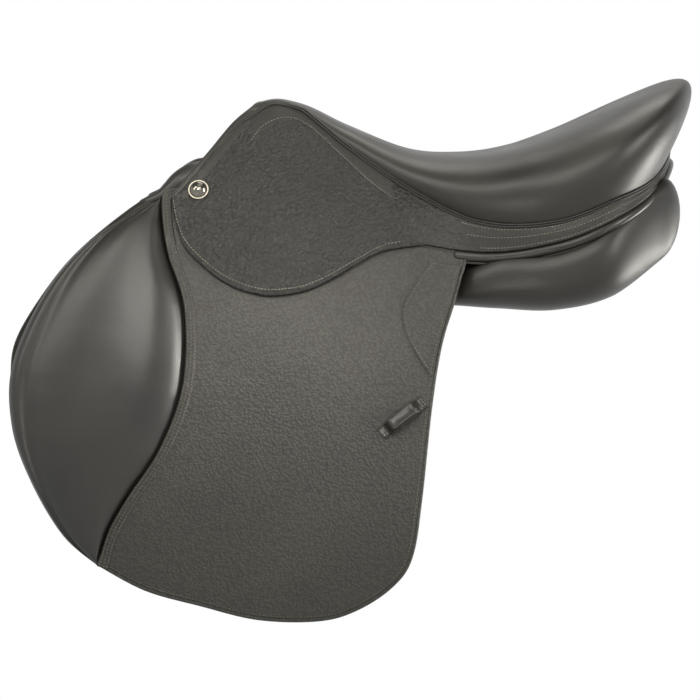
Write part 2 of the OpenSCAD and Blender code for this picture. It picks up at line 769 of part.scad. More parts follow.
module stirrup_bar() {
    bend = (bar_top_z - bar_plate_z) / 2;
    color("lightgray")
    difference() {
        on_bar()
        difference() {
            union() {
                bar_side(bend);
                translate([bar_front + bend, -plate_h / 2, bar_plate_z])
                cube([plate_l - bend, plate_h, plate_t]);
            }
            translate([catch_x, 0, tongue_z - run_gap])
            cylinder(r = bar_h / 2 + 2 * run_gap, h = tongue_t + 2 * run_gap);
            translate([catch_x, -bar_h, tongue_z - run_gap])
            cube([bar_h, 2 * bar_h, tongue_t + 2 * run_gap]);
            translate([catch_x, 0, bar_blade_z - 1])
            cylinder(d = pin_d + 2 * pin_gap, h = bar_t + 2);
        }
        bar_rivet_holes();
    }
}

// The hooked side view of the bar, cut to the blade's rounded plan
module bar_side(bend) {
    intersection() {
        rotate([90, 0, 0])
        linear_extrude(bar_h, center = true)
        difference() {
            union() {
                translate([bar_front + bend, bar_plate_z + bend])
                circle(bend);
                translate([bar_front + bend, bar_plate_z])
                square([bar_l, 2 * bend]);
            }
            translate([bar_front + bend, bar_slot_z + bar_gap / 2])
            circle(bar_gap / 2);
            translate([bar_front + bend, bar_slot_z])
            square([bar_l, bar_gap]);
            translate([bar_front + plate_l, bar_plate_z - 1])
            square([bar_l, plate_t + 2]);
        }
        translate([0, 0, bar_plate_z])
        linear_extrude(2 * bend) {
            translate([bar_front - 1, -bar_h / 2])
            square([catch_x - bar_front + 1, bar_h]);
            translate([catch_x, 0])
            circle(bar_h / 2);
        }
    }
}

module bar_catch() {
    reach = bar_h / 2 + 2 * run_gap + 0.4;
    color("lightgray")
    on_bar()
    translate([catch_x, 0, 0])
    difference() {
        union() {
            translate([0, 0, tongue_z])
            cylinder(d = bar_h - 1, h = tongue_t);
            translate([0, -bar_h / 2 + 1, tongue_z])
            cube([catch_l - 3, bar_h - 2, tongue_t]);
            translate([reach, -bar_h / 2 + 0.5, bar_blade_z])
            cube([catch_l - reach - bar_h / 2 + 0.5, bar_h - 1, bar_t]);
            translate([catch_l - bar_h / 2 + 0.5, 0, bar_blade_z])
            cylinder(d = bar_h - 1, h = bar_t);
        }
        translate([0, 0, tongue_z - 1])
        cylinder(d = pin_d + 2 * pin_gap, h = tongue_t + 2);
    }
}

module catch_pins() {
    color("silver")
    both()
    on_bar()
    translate([catch_x, 0, bar_blade_z])
    cylinder(d = pin_d, h = bar_t);
}

module bar_rivets() {
    grip = point_t + run_gap + plate_t;
    color("silver")
    both()
    on_bar()
    for (x = bar_rivet_x, y = [-1, 1])
    translate([x, y * (plate_h / 2 - 4.5), point_in]) {
        cylinder(d = rivet_d - 1, h = grip + 0.2);
        translate([0, 0, grip + 0.1])
        cylinder(d1 = rivet_d + 2, d2 = rivet_d - 1, h = 1.2);
    }
}

// Panels: rounded four-cornered sections, listed from inner top round to inner foot
channel = channel_w / 2;
panel_half = panel_w / 2;
function front_section(u, v0, v1, thick, lift = 0) =
    let (bulge = pow((v1 - v0) / 2, 2) / (2 * flank_r))
    let (top = flank_point(u, v0, panel_out + bulge + lift), low = flank_point(u, v1, panel_out + bulge))
    [[top.x, min(channel, top.y - 16), top.z - 1], top, low, [low.x, low.y - thick, low.z - 4]];
function rear_section(x, out, low, high, lift) =
    [[x, channel, high + lift], [x, out, high], [x, out - 4, low], [x, channel + 4, low + 4]];
panel_rear = 198;
panel_sections = [
    front_section(-134, -38, 0.8 * panel_front_drop, 22, 2.5),
    front_section(-95, 4, panel_front_drop, 26),
    front_section(-40, 4, 0.96 * panel_front_drop, 30),
    front_section(20, 4, 0.78 * panel_front_drop, 34),
    front_section(75, 6, 0.6 * panel_front_drop, 38),
    front_section(116, 10, 0.44 * panel_front_drop, 40),
    rear_section(46, 0.92 * panel_half, -2, panel_h, 2),
    rear_section(98, panel_half, -3, panel_h + 10, 2),
    rear_section(150, 0.95 * panel_half, 0.2 * panel_rise, panel_h + 32, 3),
    rear_section(panel_rear, 0.56 * panel_half, 0.74 * panel_rise, panel_h + 55, 7)
];
panel_rings = 22;
panel_sides = 16;
panel_square = 2.9;
cap_angles = [20, 50];
cap_front = 8;
cap_rear = 16;
cap_rise = 0.3;

function panel_corners(s) = [for (c = [0 : 3]) spline([for (p = panel_sections) p[c]], s)];
function panel_point(q, angle) =
    let (s = sign(cos(angle)) * pow(abs(cos(angle)), 2 / panel_square))
    let (t = sign(sin(angle)) * pow(abs(sin(angle)), 2 / panel_square))
    mix(mix(q[3], q[2], (1 + s) / 2), mix(q[0], q[1], (1 + s) / 2), (1 + t) / 2);
function panel_ring(q) = [for (a = [0 : panel_sides - 1]) panel_point(q, 360 * a / panel_sides)];
function shrunk(ring, size, move) =
    let (middle = [for (p = ring) 1] * ring / len(ring))
    [for (p = ring) mix(middle, p, size) + move];

module panel() {
    first = panel_ring(panel_corners(0));
    last = panel_ring(panel_corners(1));
    color("#302f2c")
    loft(concat(
        [for (a = cap_angles) shrunk(first, sin(a), [-cap_front * cos(a), 0, 0])],
        [for (i = [0 : panel_rings]) panel_ring(panel_corners(i / panel_rings))],
        [for (a = backwards(cap_angles)) shrunk(last, sin(a), cap_rear * cos(a) * [1, 0, cap_rise])]));
}

// The welt lies on the panel's outer shoulder and runs round to the middle of the cantle
welt_ring = 14;
welt_angle = 45;
ring_step = 360 / panel_sides;
function panel_at(i, angle) = panel_point(panel_corners(i / panel_rings), angle);
function panel_normal(i, angle) = unit(cross(
    panel_at(i, angle + ring_step) - panel_at(i, angle - ring_step),
    panel_at(min(panel_rings, i + 1), angle) - panel_at(i - 1, angle)));

welt_seat = panel_welt_r + sewn_gap;
welt_along = [for (i = [welt_ring : panel_rings])
    panel_at(i, welt_angle) + welt_seat * panel_normal(i, welt_angle)];
welt_rows = panel_rings - welt_ring;
behind_rows = 8;
welt_behind = curve([
    welt_along[welt_rows], [panel_rear + 4, 66, seam_rear_h - 29], [panel_rear + 7, 53, seam_rear_h - 26],
    [panel_rear + 10, 34, seam_rear_h - 23], [panel_rear + 12, fold_gap + panel_welt_r, seam_rear_h - 21]
], behind_rows);

module panel_welt() {
    color("#262523")
    cord(concat(welt_along, [for (i = [1 : behind_rows]) welt_behind[i]]), panel_welt_r, 8);
}

// Leather across the channel, lying on the tops of both panels
module gullet_lining() {
    crown = 7;
    seat_angle = 90 + ring_step;
    top = [for (i = [3 : panel_rings - 2])
        let (edge = panel_at(i, seat_angle) + [0, 0, lining_t + sewn_gap])
        [for (j = [4 : -1 : -4]) let (s = j / 4) [edge.x, edge.y * s, edge.z + crown * (1 - s * s)]]];
    color("#2c2b29")
    slab(top, [for (r = top) [for (p = r) p - [0, 0, lining_t]]]);
}

// Leather that closes the back of the saddle, from behind the strips down to the welts
facing_play = 1.5;
function facing_row(i, welt) =
    let (low = yoke_face[i][0], n = yoke_normal(i, 0))
    let (high = low - (skirt_t + fold_gap) * n)
    let (foot = welt + [0, 0, panel_welt_r + fold_gap] - (panel_welt_r + facing_play) * n)
    [high, mix(high, foot, 0.5), foot];
cantle_t = 2;
facing_half = concat(
    [for (k = [2 : -1 : 0]) facing_row(seat_rows - 2 - k, welt_along[welt_rows - k])],
    [facing_row(seat_rows - 1, welt_behind[5]), facing_row(seat_rows, welt_behind[behind_rows])]);

module cantle_facing() {
    last = len(facing_half) - 1;
    face = concat(
        [for (i = [0 : last - 1]) [for (p = facing_half[i]) flip(p)]],
        [[for (p = facing_half[last]) [p.x, 0, p.z]]],
        [for (i = [last - 1 : -1 : 0]) facing_half[i]]);
    color("#2c2b29")
    slab(face, offset_grid(face, -cantle_t));
}

tree_frame();
tree_head();
left() tree_point();  // tree_point_left
tree_point();  // tree_point_right
head_plate();
gullet_plate();
left() spring();  // spring_left
spring();  // spring_right
tree_rivets();
seat_webbing();
seat_foam();
seat_cover();
seat_welt();
left() stirrup_bar();  // stirrup_bar_left
stirrup_bar();  // stirrup_bar_right
left() bar_catch();  // bar_catch_left
bar_catch();  // bar_catch_right
catch_pins();
bar_rivets();
left() skirt_yoke();  // skirt_yoke_left
skirt_yoke();  // skirt_yoke_right
left() skirt();  // skirt_left
skirt();  // skirt_right
left() flap();  // flap_left
flap();  // flap_right
left() knee_pad();  // knee_pad_left
knee_pad();  // knee_pad_right
left() flap_patch();  // flap_patch_left
flap_patch();  // flap_patch_right
left() keeper();  // keeper_left
keeper();  // keeper_right
left() sweat_flap();  // sweat_flap_left
sweat_flap();  // sweat_flap_right
left() panel();  // panel_left
panel();  // panel_right
left() panel_welt();  // panel_welt_left
panel_welt();  // panel_welt_right
gullet_lining();
left() billet_web();  // billet_web_left
billet_web();  // billet_web_right
left() billet(0);  // front_billet_left
billet(0);  // front_billet_right
left() billet(1);  // middle_billet_left
billet(1);  // middle_billet_right
left() billet(2);  // rear_billet_left
billet(2);  // rear_billet_right
left() saddle_nail();  // saddle_nail_left
saddle_nail();  // saddle_nail_right
cantle_facing();
pommel_facing();
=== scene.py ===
import math

import bpy
import numpy as np
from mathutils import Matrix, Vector
from mathutils.geometry import delaunay_2d_cdt


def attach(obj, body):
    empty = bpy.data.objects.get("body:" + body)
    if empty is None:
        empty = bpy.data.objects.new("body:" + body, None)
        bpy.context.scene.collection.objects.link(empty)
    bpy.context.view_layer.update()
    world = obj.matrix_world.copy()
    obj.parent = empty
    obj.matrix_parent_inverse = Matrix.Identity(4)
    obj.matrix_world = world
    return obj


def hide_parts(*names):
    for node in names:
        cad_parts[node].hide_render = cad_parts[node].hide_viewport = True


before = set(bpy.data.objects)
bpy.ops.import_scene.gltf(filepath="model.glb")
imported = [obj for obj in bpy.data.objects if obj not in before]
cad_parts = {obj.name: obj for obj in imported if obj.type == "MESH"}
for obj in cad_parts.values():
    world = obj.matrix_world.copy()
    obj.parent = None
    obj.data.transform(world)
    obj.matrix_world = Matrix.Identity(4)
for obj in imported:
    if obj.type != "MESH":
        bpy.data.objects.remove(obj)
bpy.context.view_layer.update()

MM = 0.001
SIDES = ("right", "left")

# Curves, in millimetres


def point(*values):
    return np.array(values, float)


def points(*rows):
    return [point(*row) for row in rows]


def mix(a, b, s):
    return a + (b - a) * s


def unit(v):
    """The same direction, or directions, with a length of 1."""
    return v / np.maximum(np.linalg.norm(v, axis=-1, keepdims=True), 1e-9)


def flip(p):
    return p * point(1, -1, 1)


def reach(value, start, end):
    """0 up to start, 1 from end on, and evenly between them."""
    return min(1, max(0, (value - start) / (end - start)))


def squared(value, power):
    """A sine or cosine for a rounded square: its power, with its sign kept."""
    return math.copysign(abs(value) ** power, value)


def full_turn(sides):
    return [2 * math.pi * q / sides for q in range(sides)]


def spline(knots, s, closing=False):
    """A point on the smooth curve through the knots; a closing curve meets its mirror image squarely."""
    last = len(knots) - 1
    k = min(last - 1, int(s * last))
    f = s * last - k
    a, b, c = knots[max(0, k - 1)], knots[k], knots[k + 1]
    if k + 2 <= last:
        d = knots[k + 2]
    else:
        d = flip(b) if closing else c
    start = 2 * b + (c - a) * f
    return 0.5 * (start + (2 * a - 5 * b + 4 * c - d) * f * f + (3 * b - a - 3 * c + d) * f ** 3)


def shares(count):
    """Even shares from 0 to 1."""
    return [k / count for k in range(count + 1)]


def curve(knots, count):
    return [spline(knots, s) for s in shares(count)]


def bezier(a, b, c, d, s):
    r = 1 - s
    return r ** 3 * a + 3 * r * r * s * b + 3 * r * s * s * c + s ** 3 * d


def run_along(path):
    """How far along the path each of its points lies."""
    return np.concatenate([[0], np.cumsum(np.linalg.norm(np.diff(path, axis=0), axis=1))])


def read_at(at, run, rows):
    """The rows' values at a distance along their run, or at many."""
    return np.stack([np.interp(at, run, rows[:, c]) for c in range(rows.shape[1])], axis=-1)


def even_steps(path, pitch):
    """The path again with points a pitch apart."""
    path = np.array(path)
    run = run_along(path)
    count = max(2, int(round(run[-1] / pitch)))
    return read_at(np.linspace(0, run[-1], count + 1), run, path)


def grid_normals(g):
    """Outward normals of a grid: column direction crossed with row direction."""
    return unit(np.cross(np.gradient(g, axis=1), np.gradient(g, axis=0)))


# The flank: u runs back along the fold, v down over the flap, and off outwards

FLANK_R = 800
V_MID = 170
FOLD_AT = point(-114, 88, 73)
TILT, SLOPE, YAW = math.radians(15), math.radians(10.4), math.radians(5)
YAW_ALONG = point(math.cos(YAW), math.sin(YAW), 0)
YAW_OUT = point(-math.sin(YAW), math.cos(YAW), 0)
TILT_DOWN = math.sin(TILT) * YAW_OUT - point(0, 0, math.cos(TILT))
FLANK_U = math.cos(SLOPE) * YAW_ALONG + math.sin(SLOPE) * TILT_DOWN
FLANK_V = math.cos(SLOPE) * TILT_DOWN - math.sin(SLOPE) * YAW_ALONG
FLANK_N = math.cos(TILT) * YAW_OUT + point(0, 0, math.sin(TILT))
FLANK_DROP = math.sqrt(FLANK_R ** 2 - V_MID ** 2)


def lean(v):
    return math.asin((V_MID - v) / FLANK_R)


def flank_point(u, v, off):
    a = lean(v)
    down = V_MID - (FLANK_R + off) * math.sin(a)
    out = (FLANK_R + off) * math.cos(a) - FLANK_DROP
    return FOLD_AT + u * FLANK_U + down * FLANK_V + out * FLANK_N


def flank_normal(v):
    a = lean(v)
    return math.cos(a) * FLANK_N - math.sin(a) * FLANK_V


def flank_down(v):
    a = lean(v)
    return math.cos(a) * FLANK_V + math.sin(a) * FLANK_N


# Layers on the flank, as in the part's source
FLAP_OUT = 4.5
SKIRT_IN, SKIRT_OUT = 5.0, 8.5
SWEAT_OUT, SWEAT_IN = -8.8, -11.8
PANEL_OUT = -18.3
FLAP_DROP = 350
FLAP_FRONT = 139

# Shapes: a list of points in millimetres, faces and the number of the finish on the piece


def grid_faces(m, n, closed=False, base=0):
    """Quads over m rows of n points; a closed grid joins the ends of its rows."""
    faces = []
    for i in range(m - 1):
        for j in range(n if closed else n - 1):
            a, b = base + i * n + j, base + i * n + (j + 1) % n
            faces.append((a, b, b + n, a + n))
    return faces


def slab(outer, inner, plain=None):
    """A closed sheet between two grids of equal size; plain tells where its leather has no grain."""
    m, n = outer.shape[:2]
    k = m * n
    fronts = grid_faces(m, n)
    backs = [tuple(k + a for a in reversed(face)) for face in fronts]
    rim = [i * n for i in range(m - 1)]
    rim += [(m - 1) * n + j for j in range(n - 1)]
    rim += [i * n + n - 1 for i in range(m - 1, 0, -1)]
    rim += list(range(n - 1, 0, -1))
    walls = [(a, b, b + k, a + k) for a, b in zip(rim, rim[1:] + rim[:1])]
    bare = np.zeros(2 * k)
    if plain is not None:
        bare[:k] = plain.reshape(-1)
    places = np.concatenate([outer.reshape(-1, 3), inner.reshape(-1, 3)])
    return places, fronts + backs + walls, 0, bare


def loft(rings, finish=0):
    """A closed body through rings of points."""
    rings = np.array(rings)
    m, n = rings.shape[:2]
    ends = [(j, (j + 1) % n, m * n) for j in range(n)]
    ends += [((m - 1) * n + (j + 1) % n, (m - 1) * n + j, m * n + 1) for j in range(n)]
    middles = np.array([rings[0].mean(0), rings[-1].mean(0)])
    places = np.concatenate([rings.reshape(-1, 3), middles])
    return places, grid_faces(m, n, closed=True) + ends, finish


# The rounded end of a cord: share of its thickness, and how far it stands out
ROUND_END = ((0.5, 0.85), (0.87, 0.5))


def cord(path, radius, sides=12, finish=0):
    """A round cord along a path, with rounded ends; its radius is one number or one for each point."""
    path = np.array(path)
    radii = np.broadcast_to(radius, len(path))
    along = unit(np.gradient(path, axis=0))
    side = np.cross((0, 0, 1), along[0])
    rings = []
    for p, t, r in zip(path, along, radii):
        side = unit(side - t * np.dot(side, t))
        up = np.cross(t, side)
        rings.append([p + r * (math.cos(a) * side + math.sin(a) * up) for a in full_turn(sides)])
    rings = np.array(rings)
    start = [mix(path[0], rings[0], c) - along[0] * radii[0] * h for c, h in ROUND_END]
    end = [mix(path[-1], rings[-1], c) + along[-1] * radii[-1] * h for c, h in reversed(ROUND_END)]
    return loft(np.concatenate([start, rings, end]), finish)


STITCH_PITCH, STITCH_LENGTH, STITCH_LIFT = 3.0, 2.1, 0.2
STITCH_R, STITCH_SIDES = 0.45, 6
# Along a stitch: share of its length, and share of its thickness
STITCH_PROFILE = ((-0.5, 0.35), (-0.3, 0.95), (0.3, 0.95), (0.5, 0.35))


def stitches(path, normals, pitch=STITCH_PITCH):
    """A row of stitches in the piece's second finish: short rounded threads half sunk in the leather."""
    path = np.array(path)
    run = run_along(path)
    count = max(1, int(run[-1] / pitch))
    places, faces = [], []
    for k in range(count):
        at = (k + 0.5) * run[-1] / count
        p, n = read_at(at, run, path), unit(read_at(at, run, normals))
        i = min(len(path) - 2, int(np.searchsorted(run, at)) - 1)
        t = path[i + 1] - path[max(0, i)]
        t = unit(t - n * np.dot(t, n))
        w = np.cross(n, t)
        base = len(places)
        for share, thick in STITCH_PROFILE:
            middle, r = p + share * STITCH_LENGTH * t, STITCH_R * thick
            places += [middle + r * (math.cos(a) * w + math.sin(a) * n) for a in full_turn(STITCH_SIDES)]
        faces += grid_faces(len(STITCH_PROFILE), STITCH_SIDES, True, base)
        faces += [tuple(range(end, end + STITCH_SIDES)) for end in (base, len(places) - STITCH_SIDES)]
    return np.array(places), faces, 1


# Leaves of leather on the flank


def inset(outline, d):
    """The outline again, d further in."""
    o = np.array(outline)
    before = unit(o - np.roll(o, 1, axis=0))
    after = unit(np.roll(o, -1, axis=0) - o)
    left = unit(np.stack([-before[:, 1] - after[:, 1], before[:, 0] + after[:, 0]], axis=1))
    square = np.maximum(0.5, left[:, 0] * -before[:, 1] + left[:, 1] * before[:, 0])
    return o + left * (d / square)[:, None]


FILL_CLEAR = 0.6


def fill(ring, pitch):
    """Triangles over a ring of points, with more points a pitch apart inside it."""
    o = np.array(ring)
    low, high = o.min(0), o.max(0)
    before = np.roll(o, 1, axis=0)
    step = o - before
    inside = []
    for x in np.arange(low[0] + pitch / 2, high[0], pitch):
        for y in np.arange(low[1] + pitch / 2, high[1], pitch):
            if np.min(np.sum((o - (x, y)) ** 2, axis=1)) < (FILL_CLEAR * pitch) ** 2:
                continue
            cross = (before[:, 1] > y) != (o[:, 1] > y)
            hits = before[cross, 0] + step[cross, 0] * (y - before[cross, 1]) / step[cross, 1]
            if np.sum(hits > x) % 2:
                inside.append((x, y))
    flat = [Vector(p) for p in [*o, *inside]]
    edges = [(i, (i + 1) % len(o)) for i in range(len(o))]
    made = delaunay_2d_cdt(flat, edges, [], 1, 1e-5)
    return np.array([tuple(v) for v in made[0]]), [tuple(f) for f in made[2]]


OUTLINE_PITCH = 2.5


def straight(*corners):
    """The straight parts of an outline from corner to corner."""
    return [[a, b] for a, b in zip(corners, corners[1:])]


def closed_outline(parts):
    """A counter-clockwise outline from parts joined end to end."""
    outline = np.concatenate([even_steps(part, OUTLINE_PITCH)[:-1] for part in parts])
    after = np.roll(outline, -1, axis=0)
    area = np.sum(outline[:, 0] * after[:, 1] - after[:, 0] * outline[:, 1])
    return outline if area > 0 else outline[::-1]


# A creased line: distance from the leaf's edge, and depth
EDGE_CREASE = ((2.0, 0), (2.5, -0.45), (3.0, -0.45), (3.5, 0))
EDGE_R, EDGE_SHARE = 1.1, 0.45


def leaf(outline, low, high, pitch=6.0, crease=EDGE_CREASE, relief=lambda u, v: 0):
    """A leaf of leather between two layers, with a rounded edge and a line creased along it."""
    r = min(EDGE_R, EDGE_SHARE * (high - low))
    turns = [math.radians(a) for a in (0, 30, 60, 90)]
    rings = [(r * (1 - math.cos(a)), low + r * (1 - math.sin(a))) for a in reversed(turns)]
    rings += [(r * (1 - math.cos(a)), high - r * (1 - math.sin(a))) for a in turns]
    rings += [(d, high + h) for d, h in crease]
    count = len(outline)
    flat = np.concatenate([inset(outline, d) for d, off in rings])
    offs = [off for d, off in rings for _ in range(count)]
    faces = grid_faces(len(rings), count, closed=True)
    for ring, off, turned in ((0, low, True), (len(rings) - 1, high, False)):
        inner, tris = fill(flat[ring * count:(ring + 1) * count], pitch)
        base = len(offs)
        flat = np.concatenate([flat, inner])
        offs += [off] * len(inner)
        faces += [tuple(base + a for a in (reversed(t) if turned else t)) for t in tris]
    half = (low + high) / 2
    places = [flank_point(u, v, off + (relief(u, v) if off > half else 0))
              for (u, v), off in zip(flat, offs)]
    return np.array(places), faces, 0


def flank_row(path, off):
    """Points and normals of a row on the flank."""
    places = [flank_point(u, v, off) for u, v in path]
    return np.array(places), np.array([flank_normal(v) for u, v in path])


# Finished pieces


def select_only(piece):
    bpy.ops.object.select_all(action="DESELECT")
    piece.select_set(True)
    bpy.context.view_layer.objects.active = piece


SHARP = 40
DOUBLES = 0.02 * MM


def tidy_mesh(piece, angle=SHARP):
    """Merges doubled points, turns the faces outwards and smooths all but the sharp edges."""
    select_only(piece)
    bpy.ops.object.mode_set(mode="EDIT")
    bpy.ops.mesh.select_all(action="SELECT")
    bpy.ops.mesh.remove_doubles(threshold=DOUBLES)
    bpy.ops.mesh.normals_make_consistent(inside=False)
    bpy.ops.object.mode_set(mode="OBJECT")
    bpy.ops.object.shade_smooth_by_angle(angle=math.radians(angle))


def build(name, shapes, finishes, side="right", angle=SHARP):
    """One piece from its shapes, each with its finish."""
    places, faces, marks, plain = [], [], [], []
    base = 0
    for spots, cells, finish, *bare in shapes:
        places.append(spots)
        plain.append(bare[0] if bare else np.zeros(len(spots)))
        faces += [tuple(base + a for a in f) for f in cells]
        marks += [finish] * len(cells)
        base += len(spots)
    places = np.concatenate(places)
    if side == "left":
        places = flip(places)
        faces = [tuple(reversed(f)) for f in faces]
    mesh = bpy.data.meshes.new(name)
    mesh.from_pydata((places * MM).tolist(), [], faces)
    for finish in finishes:
        mesh.materials.append(finish)
    mesh.polygons.foreach_set("material_index", marks)
    mesh.attributes.new("plain", "FLOAT", "POINT").data.foreach_set("value", np.concatenate(plain))
    piece = bpy.data.objects.new(name, mesh)
    bpy.context.scene.collection.objects.link(piece)
    tidy_mesh(piece, angle)
    return piece


def modify(piece, kind, **settings):
    """Adds a modifier and applies it."""
    select_only(piece)
    modifier = piece.modifiers.new(kind.lower(), kind)
    for key, value in settings.items():
        setattr(modifier, key, value)
    bpy.ops.object.modifier_apply(modifier=modifier.name)


def dressed_copy(node, name, finish, bevel=0.6):
    """A copy of a CAD node with its edges eased."""
    select_only(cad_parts[node])
    bpy.ops.object.duplicate()
    piece = bpy.context.object
    piece.name = name
    piece.parent = None
    for key in list(piece.keys()):
        del piece[key]
    piece.data.materials.clear()
    piece.data.materials.append(finish)
    tidy_mesh(piece)
    modify(piece, "BEVEL", width=bevel * MM, segments=2, limit_method="ANGLE",
           angle_limit=math.radians(SHARP))
    bpy.ops.object.shade_smooth_by_angle(angle=math.radians(SHARP))
    return piece


def place(piece, body, slot, *nodes, fill=None):
    """Rides the piece on its body and hides the nodes that it stands for; its slot is not used."""
    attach(piece, body)
    if nodes:
        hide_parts(*nodes)


# Finishes


def srgb(r, g, b):
    return tuple(((c / 255 + 0.055) / 1.055) ** 2.4 for c in (r, g, b)) + (1,)


class Nodes:
    """A tree of shader nodes, and the kinds that the finishes, the floor and the world share."""

    def __init__(self, tree):
        self.tree = tree

    def node(self, kind, inputs=(), **settings):
        """A new node; each input is linked to a socket or set to a constant value."""
        made = self.tree.nodes.new("ShaderNode" + kind)
        for key, value in settings.items():
            setattr(made, key, value)
        for key, value in dict(inputs).items():
            if isinstance(value, bpy.types.NodeSocket):
                self.link(value, made.inputs[key])
            else:
                made.inputs[key].default_value = value
        return made

    def link(self, out, into):
        self.tree.links.new(out, into)

    def range(self, value, low, high, to_low, to_high):
        inputs = {"Value": value, "From Min": low, "From Max": high, "To Min": to_low, "To Max": to_high}
        return self.node("MapRange", inputs).outputs["Result"]

    def maths(self, operation, a, b):
        return self.node("Math", {0: a, 1: b}, operation=operation).outputs["Value"]

    def seen_directly(self):
        """1 for what the camera sees, also in a mirror or through glass; 0 for what lights the object."""
        path = self.node("LightPath").outputs
        either = self.maths("MAXIMUM", path["Is Camera Ray"], path["Is Glossy Ray"])
        return self.maths("MAXIMUM", either, path["Is Transmission Ray"])

    def show(self, output, share, first, second):
        """Shows the first shader, and the second one by its share."""
        made = self.node("MixShader", {"Fac": share, 1: first, 2: second})
        self.link(made.outputs["Shader"], self.tree.nodes[output].inputs["Surface"])


class Finish(Nodes):
    """A material in the object's own coordinates."""

    def __init__(self, name, rough, metal=0.0, shine=0.2):
        self.material = bpy.data.materials.new(name)
        self.material.use_nodes = True
        super().__init__(self.material.node_tree)
        self.shader = self.tree.nodes["Principled BSDF"]
        self.shader.inputs["Roughness"].default_value = rough
        self.shader.inputs["Metallic"].default_value = metal
        self.shader.inputs["Specular IOR Level"].default_value = shine
        self.where = self.node("TexCoord").outputs["Object"]

    def noise(self, scale, detail, where=None):
        inputs = {"Vector": where or self.where, "Scale": scale, "Detail": detail}
        return self.node("TexNoise", inputs).outputs["Fac"]

    def cells(self, scale, where):
        inputs = {"Vector": where, "Scale": scale, "Smoothness": 0.35}
        return self.node("TexVoronoi", inputs, feature="SMOOTH_F1").outputs["Distance"]

    def waves(self, scale, distortion, direction):
        inputs = {"Vector": self.where, "Scale": scale, "Distortion": distortion}
        made = self.node("TexWave", inputs, wave_type="BANDS", bands_direction=direction)
        return made.outputs["Fac"]

    def stretched(self, *scale):
        return self.node("Mapping", {"Vector": self.where, "Scale": scale}).outputs["Vector"]

    def warped(self, scale, amount):
        """Object coordinates pushed about by a noise."""
        noise = self.node("TexNoise", {"Vector": self.where, "Scale": scale}).outputs["Color"]
        inputs = {0: noise, 1: (amount, amount, amount), 2: self.where}
        return self.node("VectorMath", inputs, operation="MULTIPLY_ADD").outputs["Vector"]

    def ramp(self, value, *stops):
        """A blend between two stops, each a place and a colour."""
        made = self.node("ValToRGB", {"Fac": value})
        for element, (at, colour) in zip(made.color_ramp.elements, stops):
            element.position = at
            element.color = colour
        return made.outputs["Color"]

    def layered(self, *layers):
        """The sum of heights, each with its own weight."""
        total = 0.0
        for height, weight in layers:
            total = self.maths("ADD", total, self.maths("MULTIPLY", height, weight))
        return total

    def tinted(self, colour, shade):
        inputs = {"Factor": 1.0, "A": colour, "B": shade}
        made = self.node("Mix", inputs, data_type="RGBA", blend_type="MULTIPLY")
        return made.outputs["Result"]

    def bump(self, height, depth):
        made = self.node("Bump", {"Height": height, "Distance": depth * MM, "Strength": 1.0})
        self.link(made.outputs["Normal"], self.shader.inputs["Normal"])

    def colour(self, out):
        self.link(out, self.shader.inputs["Base Color"])

    def roughness(self, out):
        self.link(out, self.shader.inputs["Roughness"])


def grey(level):
    return (level, level, level, 1)


def smooth_calf(name, dark, light, rough=0.36):
    """Smooth waxed calf with a fine hair grain, soft cloudy wear and shallow folds."""
    f = Finish(name, rough, shine=0.5)
    clouds = f.noise(14, 5)
    folds = f.noise(13, 2, where=f.stretched(1, 1, 3))
    fine = f.cells(1150, f.warped(220, 0.0012))
    tone = f.ramp(clouds, (0.32, dark), (0.68, light))
    pores = f.ramp(fine, (0.0, grey(0.9)), (0.5, grey(1.0)))
    f.colour(f.tinted(tone, pores))
    f.roughness(f.range(clouds, 0.3, 0.7, rough - 0.05, rough + 0.06))
    f.bump(f.layered((fine, 0.5), (f.noise(160, 3), 0.8), (folds, 7.0)), 0.09)
    return f.material


def pebbled_hide(name, dark, light, grain_scale, depth):
    """Pebbled hide: raised rounded grains of two to four millimetres between fine creases, with painted
    shade that darkens the colour towards the creases.
    """
    rough = 0.42
    f = Finish(name, rough, shine=0.42)
    clouds = f.noise(11, 5)
    pebbles = f.cells(grain_scale, f.warped(150, 0.0035))
    small = f.cells(2.1 * grain_scale, f.warped(300, 0.0015))
    creases = f.noise(75, 4)
    tone = f.ramp(clouds, (0.3, dark), (0.7, light))
    plain = f.node("Attribute", attribute_name="plain").outputs["Fac"]
    grain = f.maths("SUBTRACT", 1.0, f.maths("MULTIPLY", plain, 0.85))
    # Painted shade: the colour darkens from each grain's top down into the creases between the grains,
    # less where the leather is plain.
    shade = f.ramp(f.maths("MULTIPLY", pebbles, grain), (0.1, grey(1.0)), (0.62, grey(0.6)))
    f.colour(f.tinted(tone, shade))
    f.roughness(f.range(pebbles, 0.0, 0.7, rough - 0.05, rough + 0.14))
    height = f.layered((pebbles, -1.0), (small, -0.3), (creases, 0.5))
    f.bump(f.maths("MULTIPLY", height, grain), depth)
    return f.material


def flesh_side(name, dark, light):
    """Waxed strap leather with a brushed, slightly fibrous face."""
    f = Finish(name, 0.55)
    tone = f.ramp(f.noise(22, 6), (0.3, dark), (0.7, light))
    fibres = f.noise(420, 3)
    f.colour(f.tinted(tone, f.ramp(fibres, (0.3, grey(0.86)), (0.7, grey(1)))))
    f.roughness(f.range(fibres, 0.3, 0.7, 0.48, 0.62))
    f.bump(fibres, 0.12)
    return f.material


def waxed_thread(name, dark, light):
    """Waxed thread with the twist of its strands."""
    f = Finish(name, 0.5)
    twist = f.noise(1500, 2)
    f.colour(f.ramp(twist, (0.35, dark), (0.65, light)))
    f.bump(twist, 0.08)
    return f.material


def strong_web(name, dark, light):
    """Woven webbing: ribs across fine threads."""
    f = Finish(name, 0.8)
    weave = f.maths("MULTIPLY", f.waves(180, 0.4, "X"), f.waves(320, 0.6, "Z"))
    f.colour(f.ramp(weave, (0.0, dark), (0.7, light)))
    f.bump(weave, 0.35)
    return f.material


